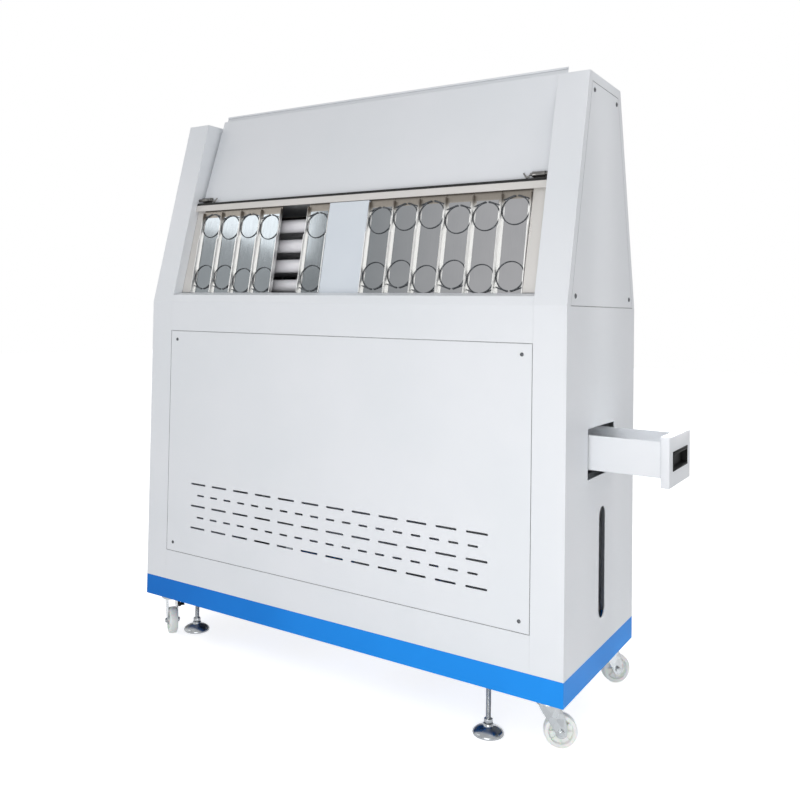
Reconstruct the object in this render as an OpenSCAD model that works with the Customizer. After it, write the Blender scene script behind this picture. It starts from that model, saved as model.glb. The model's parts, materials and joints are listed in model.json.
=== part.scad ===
// Environmental test chamber: a free-standing ultraviolet and condensation weathering cabinet.
// Origin: centre of the footprint on the floor. +Z up, +X to the right, the front faces -Y.

/* [Cabinet] */
// Width of the cabinet
cab_w = 1300; // [1200:10:1500]
// Depth of the cabinet at the base
cab_d = 510; // [480:5:600]
// Height of the base frame's underside above the floor
base_z = 113; // [108:1:125]
// Height of the blue base frame
skirt_h = 57; // [50:1:70]
// Height of the upright lower body, from the base frame to the knee
body_h = 818.5; // [780:0.5:860]
// Height of the sloping upper body
slope_h = 556.5; // [545:0.5:590]
// How far each slope leans in from knee to top
top_inset = 138.6; // [125:0.2:145]
// Thickness of the cabinet's sheet steel
sheet = 2; // [1.5:0.1:2.5]
// Width of the corner posts beside the windows
post_w = 79; // [70:1:85]
// Gap round a panel, a cover or a drawer front
seam = 1.5; // [1:0.1:2]

/* [Service panels] */
// Height of the band under each service panel, above the base frame
low_band = 84.4; // [70:0.1:110]
// Height of the band over each service panel, up to the knee
high_band = 85.7; // [70:0.1:110]
// Distance of the panel screws from the panel's edges
screw_in = 26; // [18:1:30]
// Radius of a panel screw's head
screw_r = 4.5; // [3.5:0.1:5.5]
// Height of the lowest row of vent slots above the panel's lower edge
vent_z = 81; // [50:1:120]
// Distance between rows of vent slots
vent_row = 31.5; // [20:0.5:40]
// Height of a vent slot
slot_h = 5; // [3:0.1:8]
// Length of a long vent slot
long_len = 56; // [40:1:60]
// Distance between long vent slots
long_pitch = 80.6; // [75:0.1:85]
// Number of long vent slots in a row
long_n = 12; // [8:1:13]
// Length of a short vent slot
short_len = 27; // [20:1:35]
// Distance between short vent slots
short_pitch = 51; // [45:0.5:55]
// Number of short vent slots in a row
short_n = 18; // [12:1:19]

/* [End covers] */
// Width of the rim left round each end cover
rim_w = 22; // [16:1:32]
// Radius of a cover screw's head
cover_screw_r = 6; // [4:0.5:8]

/* [Doors] */
// Height of the door's pivot up the slope, from the knee
axis_s = 330; // [322:1:334]
// Depth of the door's pivot behind the slope
axis_d = 27; // [24:0.5:30]
// Thickness of a door
door_t = 20; // [16:0.5:22]
// Gap between the closed door's pan and the window sill
pan_gap = 14.7; // [8:0.1:30]
// Length of the door's skin from the pivot to the end of its grip lip
skin_len = 305; // [295:1:308]
// Length of the door beyond its pivot
heel_len = 12; // [9:0.5:13]
// Gap between a door and the post beside it
door_gap = 5; // [3:0.5:8]
// Angle through which a door opens
open_angle = 184; // [175:1:186]
// Radius of a hinge pin
pin_r = 4; // [3:0.1:5]
// Radius of a hinge pin's barrel
barrel_r = 6.5; // [5.5:0.1:6.8]
// Length of a hinge pin's barrel
barrel_len = 34; // [28:1:42]
// How far a hinge pin draws back
pin_travel = 10; // [8:0.5:12]

/* [Specimen racks] */
// Depth of the rack's foot behind the slope
rack_d = 46; // [42:1:50]
// Angle by which the rack is steeper than the slope
rack_lean = 3.5; // [2:0.1:4]
// Width of one specimen holder
holder_w = 75.5; // [70:0.1:76]
// Distance between specimen holders
holder_pitch = 76.4; // [76.4:0.1:78]
// Height of a specimen holder
holder_h = 263; // [250:1:266]
// Depth of a specimen holder's side lips
lip_d = 13.5; // [9:0.1:13.8]
// Width of a specimen panel
specimen_w = 59; // [50:0.5:62]
// Height of a specimen panel
specimen_h = 232; // [200:1:236]
// Outer radius of a spring retaining ring
ring_r = 37; // [34:0.2:38]
// Radius of a retaining ring's wire
wire_r = 1.3; // [0.8:0.1:1.6]

/* [Lamps] */
// Radius of a lamp tube
lamp_r = 19; // [13:0.5:19]
// Distance between lamps
lamp_pitch = 59.2; // [56:0.2:62]
// Height of the lowest lamp above the rack's foot
lamp_low = 31; // [28:1:36]
// Distance of the lamps behind the specimen holders
lamp_back = 45; // [42:1:60]
// Length of a lamp tube beyond each inner wall
lamp_over = 29; // [20:1:32]

/* [Water side] */
// Width of the water drawer's front
face_w = 192; // [150:1:240]
// Height of the water drawer's front
face_h = 114; // [100:1:130]
// Thickness of the water drawer's front
face_t = 20; // [16:1:26]
// Height of the middle of the drawer above the floor
drawer_z = 643.5; // [630:0.5:700]
// Distance of the drawer's middle in front of the cabinet's middle
drawer_fwd = 12; // [0:1:30]
// Width of the water drawer's tray
tray_w = 182; // [140:1:186]
// Height of the water drawer's tray
tray_h = 81; // [60:1:90]
// Length of the water drawer's tray
tray_len = 330; // [280:1:335]
// How far the drawer slides out
drawer_travel = 183.5; // [120:0.5:190]
// Width of the black finger pull
pull_w = 130; // [90:1:150]
// Height of the black finger pull
pull_h = 40; // [30:1:60]
// Width of the water gauge's slot
gauge_w = 49; // [36:1:60]
// Length of the water gauge's slot
gauge_len = 267; // [200:1:280]
// Height of the middle of the water gauge above the floor
gauge_z = 372.5; // [360:0.5:400]
// Radius of the sight tube
sight_r = 12.5; // [8:0.5:14]
// Width of the water tank
tank_w = 300; // [240:5:340]
// Length of the water tank
tank_len = 310; // [300:5:330]
// Height of the water tank
tank_h = 400; // [380:5:412]

/* [Casters and feet] */
// Radius of a caster wheel
wheel_r = 37.5; // [35:0.5:39]
// Width of a caster wheel
wheel_w = 24; // [20:1:28]
// Distance from a caster's swivel to its axle
trail = 27; // [22:0.5:32]
// Distance of the casters from the cabinet's middle, along the front
caster_x = 597; // [560:1:598]
// Distance of the casters from the cabinet's middle, front to back
caster_y = 205; // [190:1:212]
// Radius of a levelling foot's pad
pad_r = 36.5; // [30:0.5:40]
// Radius of a levelling foot's rod
rod_r = 6; // [5:0.5:8]
// Distance of the feet from the cabinet's middle, along the front
foot_x = 463; // [400:1:480]
// Distance of the feet from the cabinet's middle, front to back
foot_y = 232; // [225:1:235]
// Height of the raised feet above the floor
foot_up = 36; // [10:1:50]
// Height of the lowered front right foot above the floor
foot_low = 1; // [0.6:0.2:6]

/* [Hidden] */

$fn = 48;

// Clearances
slip = 0.3;
run = 0.05;
eps = 1;

// Levels and half sizes of the cabinet
half_w = cab_w / 2;
half_d = cab_d / 2;
body_z = base_z + skirt_h;
knee_z = body_z + body_h;
top_z = knee_z + slope_h;
tilt = atan(top_inset / slope_h);
top_half = half_d - top_inset;
wall_x = half_w - post_w;
panel_z = body_z + low_band;
panel_h = body_h - low_band - high_band;
panel_top = panel_z + panel_h;

// Corner factors of the end outline when it is drawn smaller all round
knee_k = tan(tilt / 2);
top_k = (1 - sin(tilt)) / cos(tilt);

// A place on the front slope: s up from the knee, d behind the surface, as [y, z]
function sl(s, d) = [
    s * sin(tilt) + d * cos(tilt) - half_d,
    knee_z + s * cos(tilt) - d * sin(tilt)
];

// Outline of the cabinet's end, drawn smaller by d all round, from height z0 up
function end_outline(d, z0) = [
    [-(half_d - d), z0], [half_d - d, z0], [half_d - d, knee_z - d * knee_k],
    [top_half - d * top_k, top_z - d], [-(top_half - d * top_k), top_z - d],
    [-(half_d - d), knee_z - d * knee_k]
];

// Half width of the end at height z, drawn smaller by d, for the sloping part
function slope_half(z, d) = half_d - (z - knee_z) * tan(tilt) - d / cos(tilt);

// The sloping part of that outline alone, from a height z0 above the knee
function slope_outline(d, z0) = [
    [-slope_half(z0, d), z0], [slope_half(z0, d), z0],
    [top_half - d * top_k, top_z - d], [-(top_half - d * top_k), top_z - d]
];

// Door pivot, and a place beside the open door: along it and off behind it
axis_yz = sl(axis_s, axis_d);
door_lean = open_angle - 180;
back_tilt = tilt + door_lean;
function baffle_y(z, off) =
    axis_yz[0] + off * cos(back_tilt)
    + (z - axis_yz[1] + off * sin(back_tilt)) * tan(back_tilt);

module along_x(x0, w) translate([x0, 0, 0]) rotate([90, 0, 90]) linear_extrude(w) children();
module on_slope() translate([0, -half_d, knee_z]) rotate([90 - tilt, 0, 0]) children();
module at_axis() on_slope() translate([0, axis_s, -axis_d]) children();
module on_rack() on_slope() translate([0, rack_s, -rack_d]) rotate([rack_lean, 0, 0]) children();
module rear() mirror([0, 1, 0]) children();
module left() mirror([1, 0, 0]) children();
module box(x0, x1, y0, y1, z0, z1) translate([x0, y0, z0]) cube([x1 - x0, y1 - y0, z1 - z0]);
module rod_x(x0, x1, r) translate([x0, 0, 0]) rotate([0, 90, 0]) cylinder(h = x1 - x0, r = r);
module rod_y(y0, y1, r) translate([0, y0, 0]) rotate([-90, 0, 0]) cylinder(h = y1 - y0, r = r);

// A slot with round ends, lying along the first axis
module slot2d(len, h) {
    square([len - h, h], center = true);
    for (e = [-1, 1]) translate([e * (len - h) / 2, 0]) circle(d = h, $fn = 24);
}

// BASE FRAME
flange_w = 42;
plate_t = 3;
cross_x = [-300, 0, 300];
cross_w = 70;
boss_r = 14;
boss_h = 34;
caster_plate = [100, 80];

module at_casters() for (sx = [-1, 1], sy = [-1, 1]) translate([sx * caster_x, sy * caster_y, 0]) children();
module at_feet() for (sx = [-1, 1], sy = [-1, 1]) translate([sx * foot_x, sy * foot_y, 0]) children();

module base_frame() color("dodgerblue") difference() {
    union() {
        difference() {
            box(-half_w, half_w, -half_d, half_d, base_z, body_z);
            box(-half_w + plate_t, half_w - plate_t, -half_d + plate_t, half_d - plate_t,
                base_z + plate_t, body_z - plate_t);
            box(-half_w + flange_w, half_w - flange_w, -half_d + flange_w, half_d - flange_w,
                base_z - eps, body_z + eps);
        }
        for (x = cross_x) {
            box(x - cross_w / 2, x + cross_w / 2, -half_d + plate_t, half_d - plate_t,
                base_z, base_z + plate_t);
            box(x - cross_w / 2, x + cross_w / 2, -half_d + plate_t, half_d - plate_t,
                body_z - plate_t, body_z);
            box(x - plate_t / 2, x + plate_t / 2, -half_d + plate_t, half_d - plate_t,
                base_z, body_z);
        }
        at_casters() box(-caster_plate[0] / 2, caster_plate[0] / 2,
            -caster_plate[1] / 2, caster_plate[1] / 2, base_z, base_z + plate_t);
        at_feet() translate([0, 0, base_z]) cylinder(h = boss_h, r = boss_r);
    }
    at_feet() translate([0, 0, base_z - eps]) cylinder(h = skirt_h + 2 * eps, r = rod_r + run);
}

// CASTERS
race_r = 30;
race_t = 3;
king_r = 6;
fork_t = 3;
leg_t = 2.5;
hub_w = wheel_w + 1.4;
leg_y = hub_w / 2 + slip;
axle_r = 4;
plate_low = base_z - plate_t;
race_low = plate_low - race_t;
fork_top = race_low - slip;
nut_h = 5;
bolt_in = 10;

module caster_plates() color("silver") at_casters() {
    box(-caster_plate[0] / 2, caster_plate[0] / 2, -caster_plate[1] / 2, caster_plate[1] / 2,
        plate_low, base_z);
    translate([0, 0, race_low]) cylinder(h = race_t, r = race_r);
    translate([0, 0, fork_top - fork_t - slip - nut_h]) cylinder(h = fork_t + nut_h + 2 * slip, r = king_r);
    translate([0, 0, fork_top - fork_t - slip - nut_h]) cylinder(h = nut_h, r = 2 * king_r - 2, $fn = 6);
    for (ex = [-1, 1], ey = [-1, 1])
        translate([ex * (caster_plate[0] / 2 - bolt_in), ey * (caster_plate[1] / 2 - bolt_in), plate_low - 4])
            cylinder(h = 5, r = 6, $fn = 6);
}

// Directions in which the four casters trail, as the photo shows the three in view
trail_fl = -35;
trail_fr = 30;
trail_bl = 60;
trail_br = 45;
module at_caster(sx, sy, turn) translate([sx * caster_x, sy * caster_y, 0]) rotate([0, 0, turn]) children();

pivot_x = 4;
pivot_z = wheel_r + 42;
pivot_r = 3;

module fork(brake = false) color("gainsboro") {
    difference() {
        translate([0, 0, fork_top - fork_t]) cylinder(h = fork_t, r = race_r - 2);
        translate([0, 0, fork_top - fork_t - eps]) cylinder(h = fork_t + 2 * eps, r = king_r + run);
    }
    for (e = [-1, 1]) translate([0, e * (leg_y + leg_t / 2), 0]) rotate([90, 0, 0])
        translate([0, 0, -leg_t / 2]) linear_extrude(leg_t) {
            polygon([
                [-race_r + 6, fork_top], [race_r - 6, fork_top],
                [trail + 12, wheel_r + 4], [trail - 11, wheel_r - 5]
            ]);
            translate([trail, wheel_r]) circle(r = 12);
        }
    translate([trail, 0, wheel_r]) {
        rod_y(-leg_y - leg_t - 4, leg_y + leg_t + 4, axle_r);
        for (e = [-1, 1]) translate([0, e * (leg_y + leg_t + 2), 0]) rotate([90, 0, 0])
            cylinder(h = 4, r = 7, center = true, $fn = 6);
    }
    if (brake) translate([pivot_x, 0, pivot_z]) rod_y(leg_y, leg_y + leg_t + 6, pivot_r);
}

module wheel() color("whitesmoke") translate([trail, 0, wheel_r]) rotate([90, 0, 0])
    rotate_extrude($fn = 72) {
        translate([axle_r + run, -hub_w / 2]) square([9, hub_w]);
        translate([axle_r + 8, -4.5]) square([wheel_r - axle_r - 15, 9]);
        translate([wheel_r - 9, -wheel_w / 2]) square([5, wheel_w]);
        translate([wheel_r - 9, 4 - wheel_w / 2]) square([9, wheel_w - 8]);
        for (e = [-1, 1]) translate([wheel_r - 4, e * (wheel_w / 2 - 4)]) circle(r = 4, $fn = 24);
    }

module brake() color("dimgray") translate([pivot_x, leg_y + leg_t + slip, pivot_z]) difference() {
    union() {
        rotate([-90, 0, 0]) cylinder(h = 4, r = 9);
        rotate([90, 0, 0]) translate([0, 0, -4]) linear_extrude(4)
            polygon([[-7, -5], [5, -8], [46, 3], [50, 12], [42, 14], [2, 9]]);
        translate([36, 0, 7]) cube([16, 15, 4]);
    }
    rod_y(-eps, 4 + eps, pivot_r + run);
}

// LEVELLING FEET
rod_len = 150;
module foot(sx, sy, z0) color("silver") translate([sx * foot_x, sy * foot_y, z0]) {
    cylinder(h = rod_len, r = rod_r);
    rotate_extrude($fn = 72) polygon([
        [0, 0], [pad_r - 1, 0], [pad_r, 1.5], [pad_r, 4], [pad_r - 2, 6.5],
        [pad_r * 0.72, 11], [pad_r * 0.42, 17], [pad_r * 0.3, 24], [0, 24]
    ]);
    translate([0, 0, 26]) cylinder(h = 9, r = 2 * rod_r - 1.5, $fn = 6);
}

// FRONT AND REAR SURROUNDS: the bands over and under the service panel and the window sill
sill_s = 21;
sill_in_s = 37.3;
pan_len = axis_s - sill_in_s - pan_gap;
sill_in_d = 34;
ledge_d = 52;
rack_s = sill_in_s + 0.4;
seat_w = 14;

module surround() color("white") {
    along_x(-wall_x, 2 * wall_x) {
        polygon([
            [-half_d, panel_top], [-half_d, knee_z], sl(sill_s, 0), sl(sill_in_s, sill_in_d),
            sl(sill_in_s, ledge_d), sl(sill_in_s - sheet, ledge_d),
            sl(sill_in_s - sheet, sill_in_d), sl(sill_s - sheet, sheet),
            sl(0, sheet), [-half_d + sheet, knee_z - sheet], [-half_d + sheet, panel_top]
        ]);
        polygon([
            [-half_d, body_z], [-half_d, panel_z],
            [-half_d + sheet, panel_z], [-half_d + sheet, body_z]
        ]);
    }
    difference() {
        box(-wall_x - seat_w, wall_x + seat_w, -half_d + sheet, -half_d + 2 * sheet,
            panel_z - seat_w, panel_top + seat_w);
        box(-wall_x + seat_w, wall_x - seat_w, -half_d, 0, panel_z + seat_w, panel_top - seat_w);
    }
}
module front_surround() surround();
module gland_hole() translate([gland_x, 0, gland_z]) rod_y(0, half_d + eps, gland_r);
module rear_surround() color("white") difference() {
    rear() surround();
    gland_hole();
}

// SERVICE PANELS with their vent slots
vent_x = -4.5;
fold_d = 16;
panel_x = wall_x - seam;

module vents2d() for (row = [0:4]) {
    long_row = row % 2 == 0;
    n = long_row ? long_n : short_n;
    pitch = long_row ? long_pitch : short_pitch;
    for (i = [0:n - 1])
        translate([vent_x + (i - (n - 1) / 2) * pitch, panel_z + vent_z + row * vent_row - seam])
            slot2d(long_row ? long_len : short_len, slot_h);
}
module at_panel_screws() for (ex = [-1, 1], z = [panel_z + screw_in, panel_top - screw_in])
    translate([ex * (wall_x - screw_in), 0, z]) children();

panel_t = sheet - slip;
module service_panel() color("whitesmoke") difference() {
    translate([0, -half_d + panel_t, 0]) rotate([90, 0, 0]) linear_extrude(panel_t) difference() {
        translate([-panel_x, panel_z + seam]) square([2 * panel_x, panel_h - 2 * seam]);
        vents2d();
        at_panel_holes2d();
    }
}
module at_panel_holes2d() for (ex = [-1, 1], z = [panel_z + screw_in, panel_top - screw_in])
    translate([ex * (wall_x - screw_in), z]) circle(r = shank_r + slip, $fn = 24);
module front_service_panel() service_panel();
module rear_service_panel() rear() service_panel();

// SCREWS
shank_r = 2;
head_h = 2.4;
module screw_y(r) {
    rotate([90, 0, 0]) cylinder(h = head_h, r1 = r, r2 = r * 0.7);
    rotate([-90, 0, 0]) cylinder(h = panel_t + slip, r = shank_r, $fn = 24);
}
cover_z = knee_z - 1;
cover_low_in = 23;
cover_high_in = 19;
function cover_screws() = [
    [slope_half(cover_z + cover_low_in, rim_w) - cover_low_in, cover_z + cover_low_in],
    [slope_half(top_z - rim_w - cover_high_in, rim_w) - cover_high_in, top_z - rim_w - cover_high_in]
];
module at_cover_screws() for (p = cover_screws(), e = [-1, 1]) translate([0, e * p[0], p[1]]) children();
module panel_screws() color("dimgray") {
    for (m = [0, 1]) mirror([0, m, 0]) at_panel_screws() translate([0, -half_d, 0]) screw_y(screw_r);
    for (m = [0, 1]) mirror([m, 0, 0]) at_cover_screws() translate([half_w, 0, 0]) {
        rotate([0, 90, 0]) cylinder(h = head_h, r1 = cover_screw_r, r2 = cover_screw_r * 0.7);
        rotate([0, -90, 0]) cylinder(h = panel_t + slip, r = shank_r, $fn = 24);
    }
}

// END FRAMES: side sheet, corner posts and the inner wall beside the chamber
cover_seat = 12;
module at_lamps() for (i = [0:3]) translate([0, lamp_low + i * lamp_pitch, -lamp_back]) children();
module at_all_lamps() for (m = [0, 1]) mirror([0, m, 0]) on_rack() at_lamps() children();

module end_frame(slots = false) color("white") difference() {
    union() {
        along_x(half_w - sheet, sheet) difference() {
            polygon(end_outline(0, body_z));
            polygon(slope_outline(rim_w, cover_z));
            if (slots) {
                translate([-drawer_fwd, drawer_z])
                    square([face_w + 3 * seam, face_h + 3 * seam], center = true);
                translate([0, gauge_z]) rotate(90) slot2d(gauge_len, gauge_w);
            }
        }
        along_x(wall_x, post_w) difference() {
            polygon(end_outline(0, body_z));
            polygon(end_outline(sheet, body_z - eps));
        }
        along_x(wall_x, sheet) polygon(end_outline(0, panel_top + seat_w));
        along_x(half_w - 2 * sheet, sheet) difference() {
            polygon(end_outline(sheet, cover_z - cover_seat));
            polygon(slope_outline(rim_w + cover_seat, cover_z + cover_seat));
        }
    }
    at_all_lamps() rod_x(wall_x - eps, wall_x + sheet + eps, lamp_r + 1);
    for (m = [0, 1]) mirror([0, m, 0]) at_axis() rod_x(wall_x - eps, wall_x + sheet + eps, pin_r + run);
}
module end_frame_right() end_frame(true);
module end_frame_left() left() end_frame();

module end_cover() color("gainsboro") difference() {
    along_x(half_w - panel_t, panel_t) polygon(slope_outline(rim_w + seam, cover_z + seam));
    at_cover_screws() rod_x(half_w - 2 * sheet, half_w + eps, shank_r + slip);
}
module end_cover_right() end_cover();
module end_cover_left() left() end_cover();

// UPPER HOUSING: the chamber's ceiling and the raised spine that the open door leans on
rail_low_s = 292;
rail_top_s = 311;
rail_d = 21;
rail_back_d = 45;
ceil_z = sl(rail_top_s, rail_back_d)[1] - 2 * sheet;
ceil_half = -sl(rail_top_s, rail_back_d)[0];
baffle_off = axis_d + 5;
stop_off = axis_d + slip;
stop_z = top_z - 60;
stop_h = 20;
function mirrored(pts) = concat(pts, [for (i = [len(pts) - 1:-1:0]) [-pts[i][0], pts[i][1]]]);
module upper_housing() color("white") along_x(-wall_x + slip, 2 * (wall_x - slip)) difference() {
    polygon(mirrored([
        [-ceil_half, ceil_z], [-ceil_half, ceil_z + sheet],
        [baffle_y(ceil_z + sheet, baffle_off), ceil_z + sheet],
        [baffle_y(stop_z, baffle_off), stop_z], [baffle_y(stop_z, stop_off), stop_z],
        [baffle_y(stop_z + stop_h, stop_off), stop_z + stop_h],
        [baffle_y(stop_z + stop_h, baffle_off), stop_z + stop_h],
        [baffle_y(top_z, baffle_off), top_z]
    ]));
    polygon(mirrored([
        [baffle_y(ceil_z + sheet, baffle_off + sheet), ceil_z + sheet],
        [baffle_y(top_z - sheet, baffle_off + sheet), top_z - sheet]
    ]));
}

// RACK FRAMES: rail over the specimens and the stiles beside them
stile_d = 32;
function rack_right(front) = front ? front_x(11) + holder_w - 0.5 : 6 * holder_pitch + 62;
function rack_left(front) = front ? front_x(0) + 0.5 : -(6 * holder_pitch + 62);
module rack_frame(front) color("antiquewhite") {
    along_x(-wall_x + slip, 2 * (wall_x - slip)) polygon([
        sl(rail_low_s, rail_d), sl(rail_top_s, rail_d), sl(rail_top_s, rail_back_d),
        sl(rail_top_s - sheet, rail_back_d), sl(rail_top_s - sheet, rail_d + sheet),
        sl(rail_low_s, rail_d + sheet)
    ]);
    on_slope() for (r = [[rack_right(front) + seam, wall_x - slip], [-wall_x + slip, rack_left(front) - seam]])
        translate([r[0], sill_in_s + slip, -stile_d - sheet]) {
            cube([r[1] - r[0], rail_top_s - sill_in_s - 1.5 * sheet, sheet]);
            translate([r[0] > 0 ? 0 : r[1] - r[0] - sheet, 0, stile_d + sheet - rack_d])
                cube([sheet, rail_top_s - sill_in_s - 1.5 * sheet, rack_d - stile_d]);
        }
}
module front_rack_frame() rack_frame(true);
module rear_rack_frame() rear() rack_frame(false);

seal_h = 6.5;
seal_d = 5;
module window_seals() color("black") for (m = [0, 1]) mirror([0, m, 0])
    on_slope() translate([-wall_x + 1, rail_top_s + run, -rail_d - seal_d])
        cube([2 * wall_x - 2, seal_h, seal_d + 0.5]);

// SPECIMEN HOLDERS, panels, retaining rings and blank plates
plate_x = 61;
plate_right = 67;
holder_t = 1.5;
lip_t = 1.2;
lip_turn = 165;
window_h = 95;
window_low = 20;
window_step = 113;
upper_ring = [246, 238, 240, 233, 0, 231, 235, 241, 243, 227, 231, 243];
lower_ring = [88, 87, 76, 78, 0, 81, 86, 90, 75, 87, 75, 81];
gap_w = 95.5;
empty = 4;

// Left edge of each front holder: four, an empty place, one, the blank plate, six
function front_x(i) =
    i > 5 ? plate_right + 1.5 + (i - 6) * holder_pitch :
    i == 5 ? -plate_x - 0.5 - holder_w :
    -plate_x - 0.5 - holder_w - gap_w - (4 - i) * holder_pitch;
function rear_x(i) = i > 5 ? plate_x + 1 + (i - 6) * holder_pitch : -plate_x - 1 - holder_w - (5 - i) * holder_pitch;
front_list = [for (i = [0:11]) if (i != empty) i];
function ring_v(i, upper) = (upper ? upper_ring[i] : lower_ring[i]) - rack_s;

module holder(vs) color("white") difference() {
    union() {
        translate([0, slip, 0]) cube([holder_w, holder_h, holder_t]);
        for (x = [0, holder_w - lip_t]) translate([x, slip + 1, 0]) {
            cube([lip_t, lip_turn, lip_d]);
            cube([lip_t, rail_low_s - rack_s - 7, lip_d - 4]);
        }
    }
    for (k = [0, 1]) translate([(holder_w - specimen_w) / 2 + 3, window_low + k * window_step, -eps])
        cube([specimen_w - 6, window_h, holder_t + 2 * eps]);
    for (v = vs) translate([-eps, v - 8, holder_t])
        cube([holder_w + 2 * eps, 16, 3 * wire_r + slip]);
}
module front_holders() on_rack() for (i = front_list)
    translate([front_x(i), 0, 0]) holder([ring_v(i, true), ring_v(i, false)]);
module rear_holders() rear() on_rack() for (i = [0:11])
    translate([rear_x(i), 0, 0]) holder([ring_v(1, true), ring_v(1, false)]);

specimen_t = 1;
module specimen() translate([(holder_w - specimen_w) / 2, 2, holder_t]) cube([specimen_w, specimen_h, specimen_t]);
module specimen_panels() color("lightslategray") {
    on_rack() for (i = front_list) translate([front_x(i), 0, 0]) specimen();
    rear() on_rack() for (i = [0:11]) translate([rear_x(i), 0, 0]) specimen();
}

module ring(v) translate([holder_w / 2, v, holder_t + specimen_t + wire_r])
    rotate_extrude($fn = 48) translate([ring_r - wire_r, 0]) circle(r = wire_r, $fn = 16);
module retaining_rings() color("dimgray") {
    on_rack() for (i = front_list, up = [true, false]) translate([front_x(i), 0, 0]) ring(ring_v(i, up));
    rear() on_rack() for (i = [0:11], up = [true, false]) translate([rear_x(i), 0, 0]) ring(ring_v(1, up));
}

blank_d = 8;
module blank_plate(right) on_rack() {
    translate([-plate_x, slip, blank_d]) cube([plate_x + right, rail_low_s - rack_s - 1, holder_t]);
    for (x = [-plate_x, right - holder_t]) translate([x, slip, 0])
        cube([holder_t, rail_low_s - rack_s - 1, blank_d + holder_t]);
}
module blank_plates() color("aliceblue") {
    blank_plate(plate_right);
    rear() blank_plate(plate_x);
}

// WATER PAN AND HEATER
pan_half_y = 190;
pan_h = 90;
pan_wall = 1.5;
pan_top = sl(sill_in_s - sheet, ledge_d)[1] - slip;
pan_rim = 14;
pan_x = wall_x - pan_rim - slip;
heater_r = 5.5;
heater_y = 40;
heater_len = 620;
heater_z = pan_top - pan_h + 30;
module water_pan() color("silver") difference() {
    union() {
        box(-pan_x, pan_x, -pan_half_y, pan_half_y, pan_top - pan_h, pan_top);
        box(-wall_x + slip, wall_x - slip, -pan_half_y - pan_rim, pan_half_y + pan_rim,
            pan_top - pan_wall, pan_top);
    }
    box(-pan_x + pan_wall, pan_x - pan_wall, -pan_half_y + pan_wall, pan_half_y - pan_wall,
        pan_top - pan_h + pan_wall, pan_top + eps);
    for (e = [-1, 1]) translate([0, e * heater_y, heater_z]) rod_x(-pan_x - eps, -pan_x + 2 * pan_wall, heater_r + run);
}
module water_heater() color("gray") translate([0, 0, heater_z]) {
    for (e = [-1, 1]) translate([0, e * heater_y, 0]) rod_x(-pan_x - 12, -pan_x + heater_len, heater_r);
    translate([-pan_x + heater_len, 0, 0]) rotate([0, 0, -90]) rotate_extrude(angle = 180, $fn = 48)
        translate([heater_y, 0]) circle(r = heater_r, $fn = 24);
}

// LAMPS AND SOCKETS
socket_r = 24;
socket_len = 40;
module lamp_tubes() color("white") at_all_lamps() rod_x(-wall_x - lamp_over, wall_x + lamp_over, lamp_r);
module lamp_sockets() color("gray") at_all_lamps() for (m = [0, 1]) mirror([m, 0, 0]) difference() {
    rod_x(wall_x + sheet, wall_x + sheet + socket_len, socket_r);
    rod_x(wall_x + sheet - eps, wall_x + lamp_over + slip, lamp_r + slip);
}

// BALLASTS on their tray
tray_x = 140;
tray_y = 170;
ballast_len = 120;
ballast_w = 50;
ballast_h = 42;
ballast_in = 28;
ballast_pitch = 76;
module ballasts() color("darkgray") {
    box(-tray_x, tray_x, -tray_y, tray_y, body_z, body_z + sheet);
    for (i = [0:3], ex = [-1, 1])
        translate([(ex * tray_x - ballast_len) / 2, ballast_in - tray_y + i * ballast_pitch, body_z + sheet])
            cube([ballast_len, ballast_w, ballast_h]);
}

// WATER TANK, SIGHT TUBE AND DRAWER RUNNERS
tank_x1 = half_w - 50;
tank_x0 = tank_x1 - tank_len;
tank_wall = 3;
tank_top = body_z + slip + tank_h;
module water_tank() color("lightgray") difference() {
    box(tank_x0, tank_x1, -tank_w / 2, tank_w / 2, body_z + slip, tank_top);
    box(tank_x0 + tank_wall, tank_x1 - tank_wall, -tank_w / 2 + tank_wall, tank_w / 2 - tank_wall,
        body_z + slip + tank_wall, tank_top + eps);
}
sight_x = half_w - 22;
fit_h = 24;
fit_r = 16;
sight_low = gauge_z - gauge_len / 2 + 12;
sight_high = gauge_z + gauge_len / 2 - 12;
module sight_tube() color("lightgray") translate([sight_x, 0, sight_low + 8]) difference() {
    cylinder(h = sight_high - sight_low - 16, r = sight_r);
    translate([0, 0, -eps]) cylinder(h = sight_high - sight_low, r = sight_r - 2);
}
module sight_fitting(z, down) translate([0, 0, z]) difference() {
    union() {
        translate([sight_x, 0, -fit_h / 2]) cylinder(h = fit_h, r = fit_r);
        rod_x(tank_x1, sight_x, 9);
        rod_x(tank_x1, tank_x1 + 4, fit_r);
    }
    translate([sight_x, 0, down ? -4 : -fit_h]) cylinder(h = fit_h + 4, r = sight_r + slip);
}
module sight_fittings() color("dimgray") {
    sight_fitting(sight_low + 12, true);
    sight_fitting(sight_high - 12, false);
}

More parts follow.
